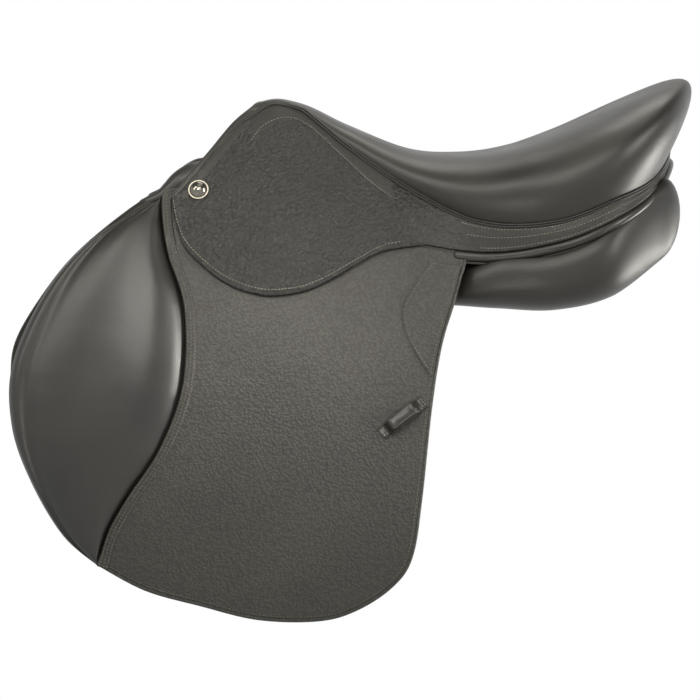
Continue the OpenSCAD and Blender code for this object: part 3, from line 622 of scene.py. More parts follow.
def beech_ply(name, dark, light):
    """Laminated beech: thin plies with a fleck along the grain."""
    f = Finish(name, 0.55)
    plies = f.ramp(f.waves(120, 1.2, "Z"), (0.2, dark), (0.8, light))
    fleck = f.noise(60, 5, where=f.stretched(1, 6, 6))
    f.colour(f.tinted(plies, f.ramp(fleck, (0.35, grey(0.78)), (0.65, grey(1)))))
    f.roughness(f.range(fleck, 0.3, 0.7, 0.5, 0.68))
    f.bump(fleck, 0.15)
    return f.material


def forged_metal(name, dark, light, rough, depth=0.05):
    """Metal with fine polishing marks and slight wear."""
    f = Finish(name, rough, metal=1.0)
    marks = f.noise(700, 2, where=f.stretched(1, 0.2, 0.2))
    f.colour(f.ramp(f.noise(55, 5), (0.3, dark), (0.7, light)))
    f.roughness(f.range(marks, 0.3, 0.7, max(0.05, rough - 0.06), rough + 0.08))
    f.bump(marks, depth)
    return f.material


CALF = srgb(32, 31, 27), srgb(42, 40, 35)
SEAT_CALF = smooth_calf("seat_calf", *CALF, rough=0.4)
KNEE_CALF = smooth_calf("knee_calf", srgb(32, 31, 29), srgb(42, 41, 37))
PANEL_CALF = smooth_calf("panel_calf", *CALF, rough=0.4)
TRIM_CALF = smooth_calf("trim_calf", *CALF, rough=0.3)
# The flap's and the skirt's hides are one black pebbled leather with grains of two sizes; the flap's copy
# is painted lighter as painted light, and the skirt's copy darker as painted shade.
LIT_FLAP_HIDE = pebbled_hide("lit_flap_hide", srgb(54, 53, 48), srgb(66, 65, 59), 400, 0.5)
SHADED_SKIRT_HIDE = pebbled_hide("shaded_skirt_hide", srgb(38, 37, 34), srgb(48, 47, 43), 310, 1.7)
SWEAT_HIDE = flesh_side("sweat_hide", srgb(46, 44, 41), srgb(58, 56, 52))
BILLET_HIDE = flesh_side("billet_hide", srgb(40, 38, 35), srgb(54, 51, 46))
THREAD = waxed_thread("waxed_thread", srgb(114, 111, 102), srgb(148, 144, 133))
DARK_THREAD = waxed_thread("dark_thread", srgb(78, 76, 70), srgb(104, 101, 94))
WEBBING = strong_web("webbing", srgb(96, 92, 84), srgb(150, 145, 134))
BEECH = beech_ply("beech_ply", srgb(150, 112, 72), srgb(190, 152, 108))
TREE_STEEL = forged_metal("tree_steel", srgb(84, 86, 90), srgb(120, 122, 126), 0.42)
BAR_STEEL = forged_metal("bar_steel", srgb(150, 150, 148), srgb(188, 188, 186), 0.28)
CHROME = forged_metal("chrome", srgb(104, 101, 93), srgb(146, 142, 132), 0.1, depth=0.02)

# Seat: stations from pommel to cantle

SEAM = points((-168, 18, 177.5), (-131, 28, 176), (-85, 52, 141.8), (-30, 83.2, 105), (30, 111, 78),
              (95, 128, 78), (150, 117.8, 97), (188, 74.9, 114.7), (207, 0, 138))
SPINE = points((-168, 0, 179.5), (-128, 0, 179), (-85, 0, 159), (-30, 0, 137), (15, 0, 133),
               (50, 0, 136), (75, 0, 146), (95, 0, 152), (105, 0, 155))
CANTLE_LIFT = 114
SEAM_HANDLE = points((0, 2, 1), (0, 0, 3), (0, 2, 14), (0, 14, 26), (0, 32, 46),
                     (10, 36, 0.6 * CANTLE_LIFT), (34, 38, 0.84 * CANTLE_LIFT),
                     (55, 28, 1.04 * CANTLE_LIFT), (62, 0, CANTLE_LIFT))
SPINE_HANDLE = points((0, 9, 0), (0, 14, 0), (0, 28, 2), (0, 45, 4), (0, 62, 6), (12, 76, 8),
                      (44, 66, 12), (68, 40, 27), (72, 0, 29))
FOAM_T, FOAM_LIP = 30, 4.3
FOAM_DEPTH = [FOAM_T * share for share in (0.25, 0.3, 0.6, 0.9, 1, 1, 1, 1, 1)]
LIP_DROP = [FOAM_T * share for share in (0.23, 0.2, 0.1, 0, 0, 0, 0, 0, 0)]
UNDER_SEAM, UNDER_SPINE = 0.62, 0.8
SEAT_ROWS, SEAT_COLS = 96, 44
CREST_X, CREST_W, CREST_H = -151, 15, 3.0
NOSE_R, NOSE_STEPS, NOSE_ROW = 10, 8, 2


def crest(x):
    """How much the pommel's hump lifts the leather."""
    return CREST_H * np.exp(-((x - CREST_X) / CREST_W) ** 2)


def seat_row(t, a, c, seam_share=1, spine_share=1):
    """Points across half of the seat, from its seam at a to its spine at c."""
    h, g = seam_share * spline(SEAM_HANDLE, t, True), spine_share * spline(SPINE_HANDLE, t, True)
    return [bezier(a, a + h, c + g, c, s) for s in shares(SEAT_COLS)]


def seat_half():
    """Half of the seat's top, of its underside and of the top's normals."""
    stations = shares(SEAT_ROWS)
    top = np.array([seat_row(t, spline(SEAM, t, True), spline(SPINE, t, True)) for t in stations])
    top[:, :, 2] += crest(top[:, :, 0])
    normals = grid_normals(top)
    normals[-1, :, 1] = 0
    normals[:, -1, 1] = 0
    normals = unit(normals)
    low = []
    for i, t in enumerate(stations):
        a = top[i, 0] - FOAM_LIP * normals[i, 0] - point(0, 0, spline(LIP_DROP, t))
        c = spline(SPINE, t, True) - point(0, 0, spline(FOAM_DEPTH, t))
        low.append(seat_row(t, a, c, UNDER_SEAM, UNDER_SPINE))
    return top, np.array(low), normals


SEAT_TOP, SEAT_LOW, SEAT_NORMALS = seat_half()


def seat_shapes():
    """Both halves of the seat, rolled over at the pommel, with walls along the seam and the front."""
    bends = [math.pi / 2 * k / NOSE_STEPS for k in range(NOSE_STEPS, 0, -1)]
    over, under = SEAT_TOP[NOSE_ROW:], SEAT_LOW[NOSE_ROW:]
    nose = [over[0] - NOSE_R * point(math.sin(a), 0, 1 - math.cos(a)) for a in bends]
    top = np.concatenate([nose, over])
    low = np.concatenate([under[:1]] * NOSE_STEPS + [under])
    grids = [top, low, np.stack([top[:, 0], low[:, 0]]), np.stack([top[0], low[0]])]
    grids += [flip(g) for g in grids]
    return [(g.reshape(-1, 3), grid_faces(*g.shape[:2]), 0) for g in grids]


seat = build("seat", seat_shapes(), [SEAT_CALF], angle=60)
place(seat, "saddle", "seat_leather", "seat_cover", "seat_foam", fill=0.8)

# Skirt: the fixed upper part and the strip under the seat, and the leaf that lifts, as one sheet at rest

YOKE_LOW = [flank_point(u, 0, SKIRT_OUT) for u in (-130, -85, -20, 62)]
YOKE_LOW += points((31, 114, 51), (98, 132, 61), (150, 122, 81), (188, 79, 104), (209, 0, 130))
YOKE_BOW = [7, 7, 5, 2, 1.2, 1.6, 1.6, 1.2, 0]
BOW_OUT = point(0, 0.8, 0.6)
SEAM_GAP, MIDDLE_GAP = 0.5, 0.25
FOLD_HANDLE = 0.4
EDGE_AT, EDGE_SPAN, EDGE_DEEP = 0.78, 0.25, 0.08
EDGE_BULGE = point(-2, 0, 2)
CREST_FADE = 0.3
YOKE_ROWS, YOKE_COLS = 160, 30
FOLD_END, STRIP_START = 0.42, 0.5
SKIRT_T = 3.5
# The lower edge: share of the height, and share of the rounding
EDGE_ROUND = ((0, 1.0), (0.012, 0.45), (0.03, 0.12), (0.055, 0.0))
EDGE_FALL = 1.2


def yoke_point(t, s):
    """A point at share t of the way back from the pommel and share s of the way up to the seat."""
    low, edge = spline(YOKE_LOW, t, True), spline(SEAM, t, True)
    high = edge + SEAM_GAP * unit(low - edge)
    d = high - low
    bow = 4 * spline(YOKE_BOW, t) * BOW_OUT
    n = flank_normal(0)
    start = mix((d + bow) / 3, FOLD_HANDLE * (d - np.dot(d, n) * n), reach(t, STRIP_START, FOLD_END))
    p = bezier(low, low + start, high - (d - bow) / 3, high, s)
    round_edge = math.exp(-((s - EDGE_AT) / EDGE_SPAN) ** 2 - (t / EDGE_DEEP) ** 2)
    lift = crest(p[0]) * math.exp(-((1 - s) / CREST_FADE) ** 2)
    return p + round_edge * EDGE_BULGE + point(0, 0, lift)


def yoke_grid():
    """The upper skirt with its free lower edge rounded, the same with a square edge, and its normals."""
    steps = [s for s, drop in EDGE_ROUND]
    steps += [mix(EDGE_ROUND[-1][0], 1, (j + 1) / YOKE_COLS) for j in range(YOKE_COLS)]
    face = np.array([[yoke_point(t, s) for s in steps] for t in shares(YOKE_ROWS)])
    face[:, :, 1] = np.maximum(face[:, :, 1], MIDDLE_GAP)
    normals = grid_normals(face)
    normals[-1, :, 1] = 0
    rounded = face.copy()
    for i, t in enumerate(shares(YOKE_ROWS)):
        free = reach(t, FOLD_END, STRIP_START)
        for j, (s, drop) in enumerate(EDGE_ROUND):
            rounded[i, j] -= EDGE_FALL * free * drop * normals[i, j]
    return rounded, face, normals


YOKE, YOKE_FACE, YOKE_NORMALS = yoke_grid()
FRONT_NORMAL = YOKE_NORMALS[0, YOKE_COLS // 2]


def row_on_yoke(path, lift=STITCH_LIFT):
    """Points and normals of a row, laid on the upper skirt."""
    spots, normals = YOKE_FACE.reshape(-1, 3), YOKE_NORMALS.reshape(-1, 3)
    rows, outs = [], []
    for p in path:
        near = np.argmin(np.sum((spots - p) ** 2, axis=1))
        n = normals[near]
        rows.append(p - np.dot(p - spots[near], n) * n + lift * n)
        outs.append(n)
    return np.array(rows), np.array(outs)


ARC = points((-171, 47, 142), (-162, 41, 155), (-149, 38, 163.5), (-134, 38, 166.5), (-119, 43, 161),
             (-104, 53, 149), (-88, 63, 134), (-72, 73, 118), (-59, 81, 107), (-46, 88, 99))
ARC_STEPS = 60
FRONT_PLAIN = 0.055
STRIP_FADE, STRIP_PLAIN = 0.38, 0.5
# Rows of stitches along the strip: share of its height, and where each one starts
STRIP_ROWS = ((0.14, 0.5), (0.5, 0.48), (0.82, 0.47))
STRIP_END, STRIP_STEPS = 0.92, 90


def plain_part():
    """Where the upper skirt has no grain: above the sewn arc, along the front edge and on the strip."""
    arc = np.array(curve(ARC, ARC_STEPS))
    bare = np.zeros(YOKE_FACE.shape[:2])
    for i, row in enumerate(YOKE_FACE):
        t = i / YOKE_ROWS
        for j, p in enumerate(row):
            above = arc[0, 0] < p[0] < arc[-1, 0] and p[2] > np.interp(p[0], arc[:, 0], arc[:, 2])
            bare[i, j] = 1 if above or t < FRONT_PLAIN else reach(t, STRIP_FADE, STRIP_PLAIN)
    return bare


yoke_shapes = [slab(YOKE, YOKE_FACE - SKIRT_T * YOKE_NORMALS, plain=plain_part())]
yoke_shapes.append(stitches(*row_on_yoke(curve(ARC, ARC_STEPS))))
for share, start in STRIP_ROWS:
    path = [yoke_point(mix(start, STRIP_END, f), share) for f in shares(STRIP_STEPS)]
    yoke_shapes.append(stitches(*row_on_yoke(path)))

# The leaf under the fold: its upper edge is the fold itself
FOLD_FRONT, FOLD_REAR, FOLD_STEPS = -130, 104, 400
SKIRT_DROP = 74
SKIRT_EDGE = [point(u, share * SKIRT_DROP) for u, share in (
    (FOLD_FRONT, 0), (-127, 0.14), (-119, 0.38), (-104, 0.64), (-68, 0.92), (-32, 1), (0, 0.89),
    (22, 0.7), (45, 0.42), (66, 0.19), (FOLD_REAR, 0))]
SKIRT_COLS, SKIRT_STEPS = 120, 26
# Its hem, creased and rounded: distance from the edge, and depth
SKIRT_ROUND = ((3.6, 0), (3.1, 0.4), (2.6, 0.4), (2.1, 0), (1.0, 0), (0.5, 0.13), (0.15, 0.45), (0, 1.1))
ROUND_WIDE, ROUND_LEAST, UNDER_ROUND = 3.7, 4, 0.6
FOLD_FADE = 30
HEM_STEPS, HEM_IN, HEM_LEAST = 90, 5.2, 8


def skirt_grid():
    """The leaf's face and its underside, from the fold down to the hem."""
    outer, inner = [], []
    lows = np.array([spline(YOKE_LOW, FOLD_END * f, True) for f in shares(FOLD_STEPS)])
    along = (lows - FOLD_AT) @ FLANK_U
    for e in curve(SKIRT_EDGE, SKIRT_COLS):
        u = min(max(e[0], FOLD_FRONT), FOLD_REAR)
        v = max(0, e[1])
        flat = max(0, v - ROUND_WIDE)
        row = [(flat * f, 0) for f in shares(SKIRT_STEPS)]
        row += [(max(0, v - d), drop * min(1, v / ROUND_LEAST)) for d, drop in SKIRT_ROUND]
        shift = read_at(u, along, lows) - flank_point(u, 0, SKIRT_OUT)
        outer.append([flank_point(u, d, SKIRT_OUT - drop) + shift * max(0, 1 - d / FOLD_FADE)
                      for d, drop in row])
        inner.append([flank_point(u, d, SKIRT_IN + min(drop, 1) * UNDER_ROUND) for d, drop in row])
    return np.array(outer), np.array(inner)


skirt_hem = [point(p[0], p[1] - HEM_IN) for p in curve(SKIRT_EDGE, HEM_STEPS) if p[1] > HEM_LEAST]
skirt_shapes = [slab(*skirt_grid()), stitches(*flank_row(skirt_hem, SKIRT_OUT + STITCH_LIFT))]

for side in SIDES:
    upper = build("upper_skirt_" + side, yoke_shapes, [SHADED_SKIRT_HIDE, THREAD], side, angle=50)
    place(upper, "saddle", "flap_leather", "skirt_yoke_" + side)
    lower = build("skirt_leaf_" + side, skirt_shapes, [SHADED_SKIRT_HIDE, THREAD], side, angle=50)
    place(lower, "skirt_" + side, "flap_leather", "skirt_" + side)

# The band of seat leather over the pommel and down the skirt's front edge, and the piping beside it

BAND_SHARES = (0.0, 0.55, 0.85, 1.0)
BAND_WIDTHS = (0.026, 0.024, 0.034, 0.07)
BAND_KNOTS = (0.0, 0.15, 0.3, 0.45, 0.6, 0.75, 0.9)
BAND_SIDES, BAND_STEPS, BAND_TAPER = 20, 150, 14
BAND_DEEP, TOP_DEEP, TOP_FROM, TOP_FULL = 2.4, 3.8, 30, 16
BAND_OVER, BAND_PROUD, BAND_POWER = 0.5, 1.0, 0.77
POMMEL_TOP = points((-174.5, 19.5, 172.5), (-175, 10, 172), (-175, 0, 172))
POMMEL_BACK = points((-164, 20.5, 174), (-163, 10, 174), (-163, 0, 174))


def band_inner(s):
    return yoke_point(float(np.interp(s, BAND_SHARES, BAND_WIDTHS)), s)


def whole(line):
    """A line that ends on the middle plane, followed by its mirror image."""
    return line + [flip(p) for p in reversed(line[:-1])]


def pommel_band():
    """A flattened roll, thickest over the pommel, that thins out at both ends."""
    edge = curve(whole([yoke_point(0, s) for s in BAND_KNOTS] + POMMEL_TOP), BAND_STEPS)
    inner = curve(whole([band_inner(s) for s in BAND_KNOTS] + POMMEL_BACK), BAND_STEPS)
    along = np.gradient((np.array(edge) + np.array(inner)) / 2, axis=0)
    rings = []
    before = FRONT_NORMAL
    for k, (e, i, t) in enumerate(zip(edge, inner, along)):
        taper = math.sqrt(min(1, (min(k, BAND_STEPS - k) + 0.5) / BAND_TAPER))
        across = unit(i - e)
        n = unit(np.cross(t, across))
        if np.dot(n, before) < 0:
            n = -n
        before = n
        deep = mix(BAND_DEEP, TOP_DEEP, reach(abs(e[1]), TOP_FROM, TOP_FULL)) * taper
        wide = (np.linalg.norm(i - e) / 2 + BAND_OVER) * taper
        middle = (e + i) / 2 - (deep - BAND_PROUD * taper) * n
        rings.append([middle + wide * squared(math.cos(a), BAND_POWER) * across
                      + deep * squared(math.sin(a), BAND_POWER) * n for a in full_turn(BAND_SIDES)])
    return loft(rings)


FACING_EDGE = points((-228, 60.4, 114.6), (-210, 46, 134), (-192, 31.4, 153.4), (-181, 22.5, 165.5),
                     (-173, 13, 174))
INTO_HEAD = point(0.734, 0, -0.681)
GUSSET_STEPS, GUSSET_COLS = 30, 4
GUSSET_FROM, GUSSET_TO = 0.1, 0.95
GUSSET_UNDER, GUSSET_SET, GUSSET_T = 2.2, 1.2, 1.6


def pommel_gussets():
    """Leather that closes the pommel's front on both sides, from its facing to the skirt's edge."""
    rows = []
    for f in shares(GUSSET_STEPS):
        inner = spline(FACING_EDGE, f) + GUSSET_SET * INTO_HEAD
        outer = yoke_point(0, mix(GUSSET_FROM, GUSSET_TO, f)) - GUSSET_UNDER * FRONT_NORMAL
        rows.append([mix(outer, inner, s) for s in shares(GUSSET_COLS)])
    face = np.array(rows)
    back = face + GUSSET_T * INTO_HEAD
    return [slab(face, back), slab(flip(face), flip(back))]


band = build("pommel_roll", [pommel_band()] + pommel_gussets(), [SEAT_CALF], angle=60)
place(band, "saddle", "seat_leather")

WELT_R, WELT_APART, WELT_STEPS = 0.85, 1.0, 420
WELT_THIN, WELT_TAPER = 0.3, 24
WELT_SHARES, WELT_LIFT = (0.02, 0.16, 0.3, 0.45, 0.6, 0.73), 0.5
WELT_OVER = points((-172, 34, 168.5), (-162, 28.5, 176), (-150, 26.5, 179.5))
CORNER_FROM, CORNER_ROWS, CORNER_STEP = 0.14, 33, 0.01
CORNER_OUT, CORNER_LEAST = 1.3, 0.4


def seam_welt():
    """Two fine cords side by side: up the skirt's front edge, then between seat and skirt."""
    rows = [[], []]
    base, normals = row_on_yoke([band_inner(s) for s in WELT_SHARES] + WELT_OVER, lift=WELT_LIFT)
    for p, n, ahead in zip(base, normals, np.gradient(base, axis=0)):
        across = unit(np.cross(ahead, n))
        for row, way in zip(rows, (-1, 1)):
            row.append(p + way * WELT_APART * across)
    for i in range(CORNER_ROWS + 1):
        t = mix(CORNER_FROM, 1, i / CORNER_ROWS)
        station = int(round(t * SEAT_ROWS))
        a = SEAT_NORMALS[station, 0]
        out = unit(a + YOKE_NORMALS[int(round(t * YOKE_ROWS)), -1])
        if i == CORNER_ROWS:
            out = unit(out * point(1, 0, 1))
        ahead = spline(SEAM, min(1, t + CORNER_STEP), True) - spline(SEAM, max(0, t - CORNER_STEP), True)
        wide = unit(np.cross(ahead, out))
        if np.dot(wide, a) < 0:
            wide = -wide
        core = SEAT_TOP[station, 0] + CORNER_OUT / max(CORNER_LEAST, np.dot(out, a)) * out
        for row, way in zip(rows, (1, -1)):
            row.append(core + way * WELT_APART * wide)
    return [curve(whole(row), WELT_STEPS) for row in rows]


welt_ends = [min(k, WELT_STEPS - k) for k in range(WELT_STEPS + 1)]
welt_taper = [WELT_R * min(1, WELT_THIN + end / WELT_TAPER) for end in welt_ends]
piping = build("seat_piping", [cord(row, welt_taper) for row in seam_welt()], [SEAT_CALF], angle=60)
place(piping, "saddle", "trim_leather", "seat_welt")

# Flap

KNEE_IN, KNEE_REACH, KNEE_CROWN = 57, 95, 19
HEM_START = 0.26 * KNEE_IN - FLAP_FRONT


def at_drop(u0, du, rows):
    """Points from shares of a length along the fold and of the flap's drop."""
    return [point(u0 + a * du, b * FLAP_DROP) for a, b in rows]


KNEE_SEAM = at_drop(-FLAP_FRONT, KNEE_IN, (
    (0, 0), (0.1, 0.066), (0.33, 0.155), (0.77, 0.283), (1, 0.471), (0.86, 0.635), (0.53, 0.765),
    (0.33, 0.857), (0.26, 0.948)))
KNEE_EDGE = at_drop(-FLAP_FRONT, KNEE_REACH, (
    (-0.02, 0.014), (-0.22, 0.063), (-0.52, 0.139), (-0.83, 0.286), (-1, 0.491), (-0.89, 0.648),
    (-0.61, 0.777), (-0.22, 0.893), (0.156, 0.95)))
HEM = at_drop(HEM_START, FLAP_FRONT - HEM_START, (
    (0, 0.948), (0.17, 0.985), (0.36, 0.995), (0.56, 1), (0.76, 0.973), (0.88, 0.927), (0.98, 0.853),
    (1.022, 0.773), (1.015, 0.625), (0.988, 0.407), (0.978, 0.248), (0.99, 0.129), (1, 0)))
NOTCH_V = 35.75
NOTCH = points((-4, 0), (-8, NOTCH_V), (-100, NOTCH_V), (-104, 0))
SWELL_U, SWELL_V, SWELL_LONG, SWELL_DEEP, SWELL_H = 30, 190, 70, 90, 0.9
SWELL_FROM, SWELL_FULL = 60, 100

flap_outline = closed_outline(
    [curve(KNEE_SEAM, 90), curve(HEM, 160)] + straight(HEM[-1], *NOTCH, KNEE_SEAM[0]))


def flap_relief(u, v):
    """A slight swell over the girth."""
    swell = SWELL_H * math.exp(-((u - SWELL_U) / SWELL_LONG) ** 2 - ((v - SWELL_V) / SWELL_DEEP) ** 2)
    return swell * reach(v, SWELL_FROM, SWELL_FULL)


# The band along the knee seam: distance from its edge, and height
KNEE_BAND = ((0.0, 0.1), (0.25, 0.9), (0.9, 1.35), (2.2, 1.2), (3.0, 0.95), (4.2, 1.15), (6.2, 1.15),
             (7.4, 1.0), (8.4, 0.75), (9.0, 0.1))
KNEE_ROWS = ((1.6, 1.35), (4.9, 1.2), (7.9, 0.95))
KNEE_TUCK = points((-123, -10.5), (-133.5, -6.5))
KNEE_SUNK = 0.6
REAR_ROW, REAR_LEAST = 4.6, 6


def beside(path, d):
    """The path again, shifted d back into the flap."""
    path = np.array(path)
    t = unit(np.gradient(path, axis=0))
    return path + d * np.stack([t[:, 1], -t[:, 0]], axis=1)


knee_line = curve(KNEE_TUCK + KNEE_SEAM, 150)
band_top = np.array([flank_row(beside(knee_line, d), FLAP_OUT + h)[0] for d, h in KNEE_BAND])
band_low = np.array([flank_row(beside(knee_line, d), FLAP_OUT - KNEE_SUNK)[0] for d, h in KNEE_BAND])
flap_shapes = [leaf(flap_outline, 0, FLAP_OUT, relief=flap_relief), slab(band_top, band_low)]
for d, h in KNEE_ROWS:
    flap_shapes.append(stitches(*flank_row(beside(knee_line, d), FLAP_OUT + h + STITCH_LIFT)))
rear_hem = [p for p in curve(HEM, 200) if p[1] > REAR_LEAST]
flap_shapes.append(stitches(*flank_row(beside(rear_hem, REAR_ROW), FLAP_OUT + STITCH_LIFT)))

# Knee pad

PAD_ACROSS = [0, 0.03, 0.07, 0.11, 0.2, 0.35, 0.5, 0.65, 0.8, 0.92, 1]
PAD_HEIGHT = [0.16, 0.42, 0.53, 0.45, 0.68, 0.92, 1, 0.99, 0.88, 0.5, 0.06]
PAD_ROWS, PAD_COLS = 90, 60
PAD_GAP, PAD_LEAST, PAD_POWER = 0.5, 0.22, 0.6


def pad_grid(crown):
    """The pad's face with a crown of this height; without one it is the pad's back."""
    rows = []
    for a in shares(PAD_ROWS):
        front, rear = spline(KNEE_EDGE, a), spline(KNEE_SEAM, a) - point(PAD_GAP, 0)
        swell = max(PAD_LEAST, math.sin(math.pi * a) ** PAD_POWER)
        row = []
        for s in shares(PAD_COLS):
            p = mix(front, rear, spline(PAD_ACROSS, s))
            row.append(flank_point(p[0], p[1], crown * swell * spline(PAD_HEIGHT, s)))
        rows.append(row)
    return np.array(rows)


pad_shapes = [slab(pad_grid(KNEE_CROWN), pad_grid(0))]

# Rear patch, keeper and sweat flap

PATCH_FRONT = points((108.1, 14), (98.9, 37.9), (93, 61.8), (100.1, 83.7), (118.2, 105.5), (130.8, 118))
PATCH_REAR = points((130.8, 118), (130.8, 86.8), (132.1, 56.6), (134.2, 32.7), (135, 14))
PATCH_IN, PATCH_OUT, PATCH_ROW, PATCH_LIFT = 4.6, 6.0, 2.4, 0.05
patch_outline = closed_outline(
    [curve(PATCH_FRONT, 50), curve(PATCH_REAR, 40)] + straight(PATCH_REAR[-1], PATCH_FRONT[0]))
patch_line = inset(patch_outline, PATCH_ROW)
patch_line = np.concatenate([patch_line, patch_line[:1]])
patch_shapes = [leaf(patch_outline, PATCH_IN, PATCH_OUT, pitch=4.0, crease=()),
                stitches(*flank_row(patch_line, PATCH_OUT + PATCH_LIFT))]

KEEPER_AT = (113, 156)
KEEPER_TURN = math.radians(-49)
KEEPER_L, KEEPER_W, KEEPER_T, KEEPER_GAP = 47, 11, 2.4, 7.5
KEEPER_SET, KEEPER_FOOT, KEEPER_RISE, KEEPER_FLAT, KEEPER_CROWN = 0.3, 6, 11, 6, 0.3
# Across the strap: share of its width, and depth
KEEPER_PROFILE = ((-0.5, 0.8), (-0.46, 0.25), (-0.4, 0), (-0.34, 0.3), (-0.28, 0), (0, -0.1), (0.28, 0),
                  (0.34, 0.3), (0.4, 0), (0.46, 0.25), (0.5, 0.8))
KEEPER_ROWS, KEEPER_SEWN, KEEPER_PITCH, KEEPER_LIFT = (1.6, 4.2), 4, 2.0, 0.1


def keeper_shapes():
    """A strap sewn down at both ends and arched over a gap, with a creased line along both edges."""
    u, v = KEEPER_AT
    along = math.cos(KEEPER_TURN) * FLANK_U + math.sin(KEEPER_TURN) * flank_down(v)
    out = flank_normal(v)
    across = np.cross(out, along)
    base = flank_point(u, v, FLAP_OUT + KEEPER_SET)
    half, top = KEEPER_L / 2, KEEPER_GAP + KEEPER_T
    rise = [(-half, KEEPER_T), (KEEPER_FOOT - half, KEEPER_T), (KEEPER_RISE - half, top),
            (-KEEPER_FLAT, top + KEEPER_CROWN)]
    fall = [(-x, z) for x, z in reversed(rise)]
    line = even_steps(curve(points(*rise, *fall), 70), 0.8)
    outer, inner = [], []
    for (x, z), (tx, tz) in zip(line, np.gradient(line, axis=0)):
        n = unit(point(-tz, tx))
        outer.append([base + (x - n[0] * d) * along + (z - n[1] * d) * out + w * KEEPER_W * across
                      for w, d in KEEPER_PROFILE])
        under = base + (x - n[0] * KEEPER_T) * along + max(0, z - n[1] * KEEPER_T) * out
        inner.append([under + w * KEEPER_W * across for w, d in KEEPER_PROFILE])
    shapes = [slab(np.array(outer), np.array(inner))]
    for end in (-1, 1):
        for inside in KEEPER_ROWS:
            sewn = base + end * (half - inside) * along + (KEEPER_T + KEEPER_LIFT) * out
            row = [sewn + w * across for w in (-KEEPER_SEWN, KEEPER_SEWN)]
            shapes.append(stitches(row, np.array([out, out]), pitch=KEEPER_PITCH))
    return shapes


SWEAT_LINE = points((-150, -4), (-166, 10.5), (-197.9, 52.5), (-218.9, 91), (-238.25, 147), (-237, 182),
                    (-226.4, 217), (-199.8, 264.25), (-159.9, 304.5), (-110, 327.95), (-30, 336),
                    (40, 337.05), (95, 320.95), (123, 287), (130, 241.5), (125, 150.5), (122, 58))
SWEAT_TOP = points((-96, NOTCH_V + 10), (-122, 0))
SWEAT_ROW, SWEAT_LIFT = 4.8, 0.1
sweat_line = curve(SWEAT_LINE, 220)
sweat_edge = closed_outline([sweat_line] + straight(sweat_line[-1], *SWEAT_TOP, sweat_line[0]))
sweat_shapes = [leaf(sweat_edge, SWEAT_IN, SWEAT_OUT, pitch=8.0),
                stitches(*flank_row(beside(sweat_line[:-2], SWEAT_ROW), SWEAT_OUT + SWEAT_LIFT))]
strap_shapes = keeper_shapes()

for side in SIDES:
    flap = build("flap_leaf_" + side, flap_shapes, [LIT_FLAP_HIDE, DARK_THREAD], side)
    place(flap, "flap_" + side, "flap_leather", "flap_" + side)
    pad = build("knee_roll_" + side, pad_shapes, [KNEE_CALF], side, angle=60)
    place(pad, "flap_" + side, "knee_leather", "knee_pad_" + side, fill=0.7)
    patch = build("rear_patch_" + side, patch_shapes, [LIT_FLAP_HIDE, DARK_THREAD], side)
    place(patch, "flap_" + side, "flap_leather", "flap_patch_" + side)
    keeper = build("strap_keeper_" + side, strap_shapes, [TRIM_CALF, THREAD], side)
    place(keeper, "flap_" + side, "trim_leather", "keeper_" + side)
    sweat = build("sweat_leaf_" + side, sweat_shapes, [SWEAT_HIDE, DARK_THREAD], side)
    place(sweat, "saddle", "sweat_leather", "sweat_flap_" + side)

# Panels: rounded four-cornered sections, listed from inner top round to inner foot

CHANNEL, PANEL_HALF, PANEL_H, PANEL_RISE, FRONT_DROP = 42, 134, 47, 62, 105
PANEL_LEAST, PANEL_EASE = 16, 4


def front_section(u, v0, v1, thick, lift=0):
    """A section beside the tree, on the flank from v0 down to v1."""
    bulge = ((v1 - v0) / 2) ** 2 / (2 * FLANK_R)
    top = flank_point(u, v0, PANEL_OUT + bulge + lift)
    low = flank_point(u, v1, PANEL_OUT + bulge)
    inner_top = point(top[0], min(CHANNEL, top[1] - PANEL_LEAST), top[2] - 1)
    return [inner_top, top, low, point(low[0], low[1] - thick, low[2] - PANEL_EASE)]


def rear_section(x, out, low, high, lift):
    """A section under the seat."""
    return points((x, CHANNEL, high + lift), (x, out, high), (x, out - PANEL_EASE, low),
                  (x, CHANNEL + PANEL_EASE, low + PANEL_EASE))


PANEL_SECTIONS = [
    front_section(-134, -30, 0.8 * FRONT_DROP, 22, 2.5),
    front_section(-95, 4, FRONT_DROP, 26),
    front_section(-40, 4, 0.96 * FRONT_DROP, 30),
    front_section(20, 4, 0.78 * FRONT_DROP, 34),
    front_section(75, 6, 0.6 * FRONT_DROP, 38),
    front_section(116, 10, 0.44 * FRONT_DROP, 40),
    rear_section(46, 0.94 * PANEL_HALF, -2, PANEL_H + 6, 2),
    rear_section(98, 1.02 * PANEL_HALF, -3, PANEL_H + 16, 2),
    rear_section(150, 0.97 * PANEL_HALF, 0.15 * PANEL_RISE, PANEL_H + 39, 3),
    rear_section(198, 0.6 * PANEL_HALF, 0.66 * PANEL_RISE, PANEL_H + 67, 4)]
PANEL_POWER = 2 / 2.35
PANEL_RINGS, PANEL_SIDES = 110, 64
CAP_TURNS = [math.radians(a) for a in (8, 20, 34, 50, 66, 80)]
CAP_FRONT, CAP_REAR = point(-8, 0, 0), 16 * point(1, -0.6, 0.2)
ROUND_FROM, ROUND_TO, ROUND_TIMES = 150, 180, 24


def panel_at(s, angle):
    """A point on the panel at share s of its length and an angle round its section."""
    q = [spline([section[c] for section in PANEL_SECTIONS], s) for c in range(4)]
    x = squared(math.cos(angle), PANEL_POWER)
    y = squared(math.sin(angle), PANEL_POWER)
    return ((1 - x) * (1 + y) * q[0] + (1 + x) * (1 + y) * q[1] + (1 + x) * (1 - y) * q[2]
            + (1 - x) * (1 - y) * q[3]) / 4


def panel_ring(s):
    return np.array([panel_at(s, a) for a in full_turn(PANEL_SIDES)])


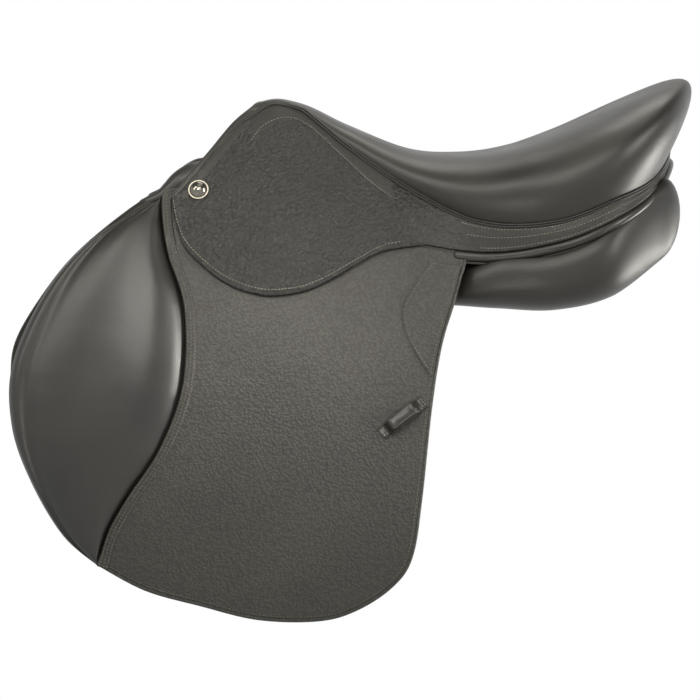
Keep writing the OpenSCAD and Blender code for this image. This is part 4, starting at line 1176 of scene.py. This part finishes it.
FRONT_ROLL = points((-268, 57, 91), (-254, 56, 95.5), (-244, 54, 101), (-234, 52, 109), (-224, 49, 116),
                    (-214, 46, 121.5), (-205, 43, 131))
FRONT_ROLL_R = (4, 6.5, 9.5, 11.5, 11, 8.5, 5)
FRONT_ROLL_STEPS, FRONT_ROLL_SIDES = 40, 28


def front_roll():
    """The stuffed roll of the panel that shows in front of the skirt, under the pommel."""
    path, thick = curve(FRONT_ROLL, FRONT_ROLL_STEPS), curve(FRONT_ROLL_R, FRONT_ROLL_STEPS)
    return cord(path, thick, sides=FRONT_ROLL_SIDES)


def panel_shapes():
    """The panel through its sections, with rounded ends, and its front roll."""
    first, last = panel_ring(0), panel_ring(1)
    front = [mix(first.mean(0), first, math.sin(a)) + math.cos(a) * CAP_FRONT for a in CAP_TURNS]
    rear = [mix(last.mean(0), last, math.sin(a)) + math.cos(a) * CAP_REAR for a in reversed(CAP_TURNS)]
    middle = [panel_ring(s) for s in shares(PANEL_RINGS)]
    return [loft(front + middle + rear), front_roll()]


PANEL_SHAPES = panel_shapes()
PIPING_R, PIPING_SIDES, FINE_R = 4.2, 18, 1.3
PIPING_FROM, PIPING_STEPS, PIPING_ABOVE = 0.47, 90, 0.15
PIPING_SET, PIPING_GAP, PIPING_COL = 2.2, 0.2, 6
FINE_SET, FINE_SUNK = 0.8, 0.3


def panel_piping():
    """A thick rolled band under the strip's lower edge, round the cantle, with a fine cord below it."""
    thick, fine = [], []
    for f in shares(PIPING_STEPS):
        t = mix(PIPING_FROM, 1, f)
        edge = yoke_point(t, 0)
        down = unit(edge - yoke_point(t, PIPING_ABOVE))
        n = YOKE_NORMALS[int(round(t * YOKE_ROWS)), PIPING_COL]
        core = edge - PIPING_SET * n + (PIPING_R + PIPING_GAP) * down
        thick.append(core)
        fine.append(core + (PIPING_R + FINE_R - FINE_SUNK) * down - FINE_SET * n)
    return [cord(thick, PIPING_R, sides=PIPING_SIDES), cord(fine, FINE_R, finish=1)]


PIPING_SHAPES = panel_piping()
for side in SIDES:
    panel = build("flocked_panel_" + side, PANEL_SHAPES, [PANEL_CALF], side, angle=60)
    end = panel.vertex_groups.new(name="rear_end")
    for v in panel.data.vertices:
        end.add([v.index], reach(v.co.x / MM, ROUND_FROM, ROUND_TO), "REPLACE")
    modify(panel, "SMOOTH", factor=0.5, iterations=ROUND_TIMES, vertex_group="rear_end")
    place(panel, "saddle", "panel_leather", "panel_" + side, fill=0.75)
    band = build("panel_piping_" + side, PIPING_SHAPES, [TRIM_CALF, PANEL_CALF], side, angle=60)
    place(band, "saddle", "trim_leather", "panel_welt_" + side)

# Leather over the channel, behind the cantle and in front of the head

LINING_T, LINING_CROWN, LINING_GAP = 2.5, 7, 0.3
LINING_FROM, LINING_TO = 3 / 22, 20 / 22
LINING_ROWS, LINING_COLS = 60, 12
LINING_ANGLE = math.radians(112.5)


def lining_shapes():
    """A strip between the panels, arched over the channel."""
    rows = []
    for f in shares(LINING_ROWS):
        edge = panel_at(mix(LINING_FROM, LINING_TO, f), LINING_ANGLE)
        edge = edge + point(0, 0, LINING_T + LINING_GAP)
        rows.append([point(edge[0], edge[1] * w, edge[2] + LINING_CROWN * (1 - w * w))
                     for w in [1 - j / LINING_COLS for j in range(2 * LINING_COLS + 1)]])
    top = np.array(rows)
    return [slab(top, top - point(0, 0, LINING_T))]


lining = build("channel_lining", lining_shapes(), [PANEL_CALF])
place(lining, "saddle", "panel_leather", "gullet_lining")
for node, name, finish, slot in (("cantle_facing", "cantle_leather", SEAT_CALF, "trim_leather"),
                                 ("pommel_facing", "pommel_leather", SEAT_CALF, "trim_leather"),
                                 ("seat_webbing", "seat_straps", WEBBING, "web")):
    place(dressed_copy(node, name, finish), "saddle", slot, node)

# Billets and their webs

for side in SIDES:
    node = "billet_web_" + side
    place(dressed_copy(node, "girth_web_" + side, WEBBING, bevel=0.4), "saddle", "web", node)
    for strap in ("front", "middle", "rear"):
        node = strap + "_billet_" + side
        billet = dressed_copy(node, strap + "_strap_" + side, BILLET_HIDE)
        place(billet, node, "billet_leather", node)

# Finishes of the CAD nodes that stay

KEPT = {
    "tree_frame": BEECH, "tree_head": BEECH, "head_plate": TREE_STEEL, "gullet_plate": TREE_STEEL,
    "tree_rivets": BAR_STEEL, "catch_pins": BAR_STEEL, "bar_rivets": BAR_STEEL}
for side in SIDES:
    KEPT.update({"tree_point_" + side: TREE_STEEL, "spring_" + side: TREE_STEEL,
                 "stirrup_bar_" + side: BAR_STEEL, "bar_catch_" + side: BAR_STEEL,
                 "saddle_nail_" + side: CHROME})
for node, finish in KEPT.items():
    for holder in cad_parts[node].material_slots:
        holder.material = finish

# Floor, light and camera

FLOOR_Z, FLOOR_SIZE = -0.75, 60
# The floor turns white away from the saddle: from and to a distance, from and to a whiteness
FLOOR_FADE = (0.7, 1.5, 0.74, 1.0)
# The backdrop is dimmer overhead: from and to a height, from and to a strength
BACKDROP_FADE = (0.3, 0.7, 1.0, 0.25)
WHITE = (1, 1, 1, 1)
SOFT_STRENGTH = 0.05

bpy.ops.object.select_all(action="DESELECT")
bpy.ops.mesh.primitive_plane_add(size=FLOOR_SIZE, location=(0, 0, FLOOR_Z))
floor = bpy.context.object
floor.name = "studio_floor"
pale = Finish("pale_floor", 0.9)
pale.shader.inputs["Base Color"].default_value = srgb(215, 215, 214)
away = pale.node("VectorMath", {0: pale.where}, operation="LENGTH").outputs["Value"]
seen = pale.maths("MULTIPLY", pale.range(away, *FLOOR_FADE), pale.seen_directly())
glow = pale.node("Emission").outputs["Emission"]
pale.show("Material Output", seen, pale.shader.outputs["BSDF"], glow)
floor.data.materials.append(pale.material)

world = bpy.data.worlds.new("studio")
bpy.context.scene.world = world
world.use_nodes = True
studio = Nodes(world.node_tree)
soft = studio.tree.nodes["Background"]
soft.inputs["Color"].default_value = WHITE
soft.inputs["Strength"].default_value = SOFT_STRENGTH
where = studio.node("TexCoord").outputs["Generated"]
height = studio.node("SeparateXYZ", {"Vector": where}).outputs["Z"]
backdrop = {"Color": WHITE, "Strength": studio.range(height, *BACKDROP_FADE)}
clear = studio.node("Background", backdrop).outputs["Background"]
studio.show("World Output", studio.seen_directly(), soft.outputs["Background"], clear)

TARGET = Vector((-0.083, 0, -0.047))
WARM = (1.0, 0.975, 0.9)
# Name, place, size and power; a focused light also has what it faces, and its spread
LAMPS = (
    ("key_box", (-0.1, -1.4, 1.4), (1.3, 0.6), 11),
    ("front_box", (-0.1, -1.75, 1.1), (1.2, 0.4), 7),
    ("top_box", (0.1, -0.2, 1.9), (1.4, 1.0), 5),
    ("right_box", (1.6, -0.9, 0.9), (0.5, 0.5), 10),
    ("left_box", (-1.7, -1.0, 1.05), (0.5, 0.7), 7),
    ("left_top", (-1.1, -0.9, 1.4), (0.6, 0.6), 8),
    ("knee_light", (1.15, -0.75, 0.22), (0.15, 0.9), 0.6, (-0.235, -0.135, -0.045), 20),
    ("flap_light", (-0.35, -1.41, 0.92), (0.1, 0.1), 0.075, (-0.14, -0.13, 0.0), 14),
    ("low_light", (-0.54, -1.4, -0.46), (0.3, 0.12), 0.05, (0.09, -0.13, 0.06), 24),
    ("rear_light", (1.32, 0.53, -0.41), (0.35, 0.5), 1.0, (0.17, -0.1, 0.08), 60),
    ("far_box", (0.2, 1.3, 2.2), (1.4, 1.0), 17))


def soft_box(name, at, size, power, aim=TARGET, spread=180):
    """A soft studio light that faces the saddle; a small spread makes it a focused one."""
    lamp = bpy.data.lights.new(name, "AREA")
    lamp.shape = "RECTANGLE"
    lamp.size, lamp.size_y = size
    lamp.energy = power
    lamp.color = WARM
    lamp.spread = math.radians(spread)
    holder = bpy.data.objects.new(name, lamp)
    holder.location = at
    holder.rotation_euler = (Vector(aim) - Vector(at)).to_track_quat("-Z", "Y").to_euler()
    bpy.context.scene.collection.objects.link(holder)


for lamp in LAMPS:
    soft_box(*lamp)

CAMERA_AWAY = 2.6
CAMERA_UP = math.radians(6)
lens = bpy.data.cameras.new("photo_camera")
lens.lens = 145.3
lens.sensor_width = 36
camera = bpy.data.objects.new("photo_camera", lens)
camera.location = TARGET + CAMERA_AWAY * Vector((0, -math.cos(CAMERA_UP), math.sin(CAMERA_UP)))
camera.rotation_euler = (TARGET - camera.location).to_track_quat("-Z", "Y").to_euler()
bpy.context.scene.collection.objects.link(camera)
bpy.context.scene.camera = camera
bpy.context.scene.view_settings.view_transform = "Standard"
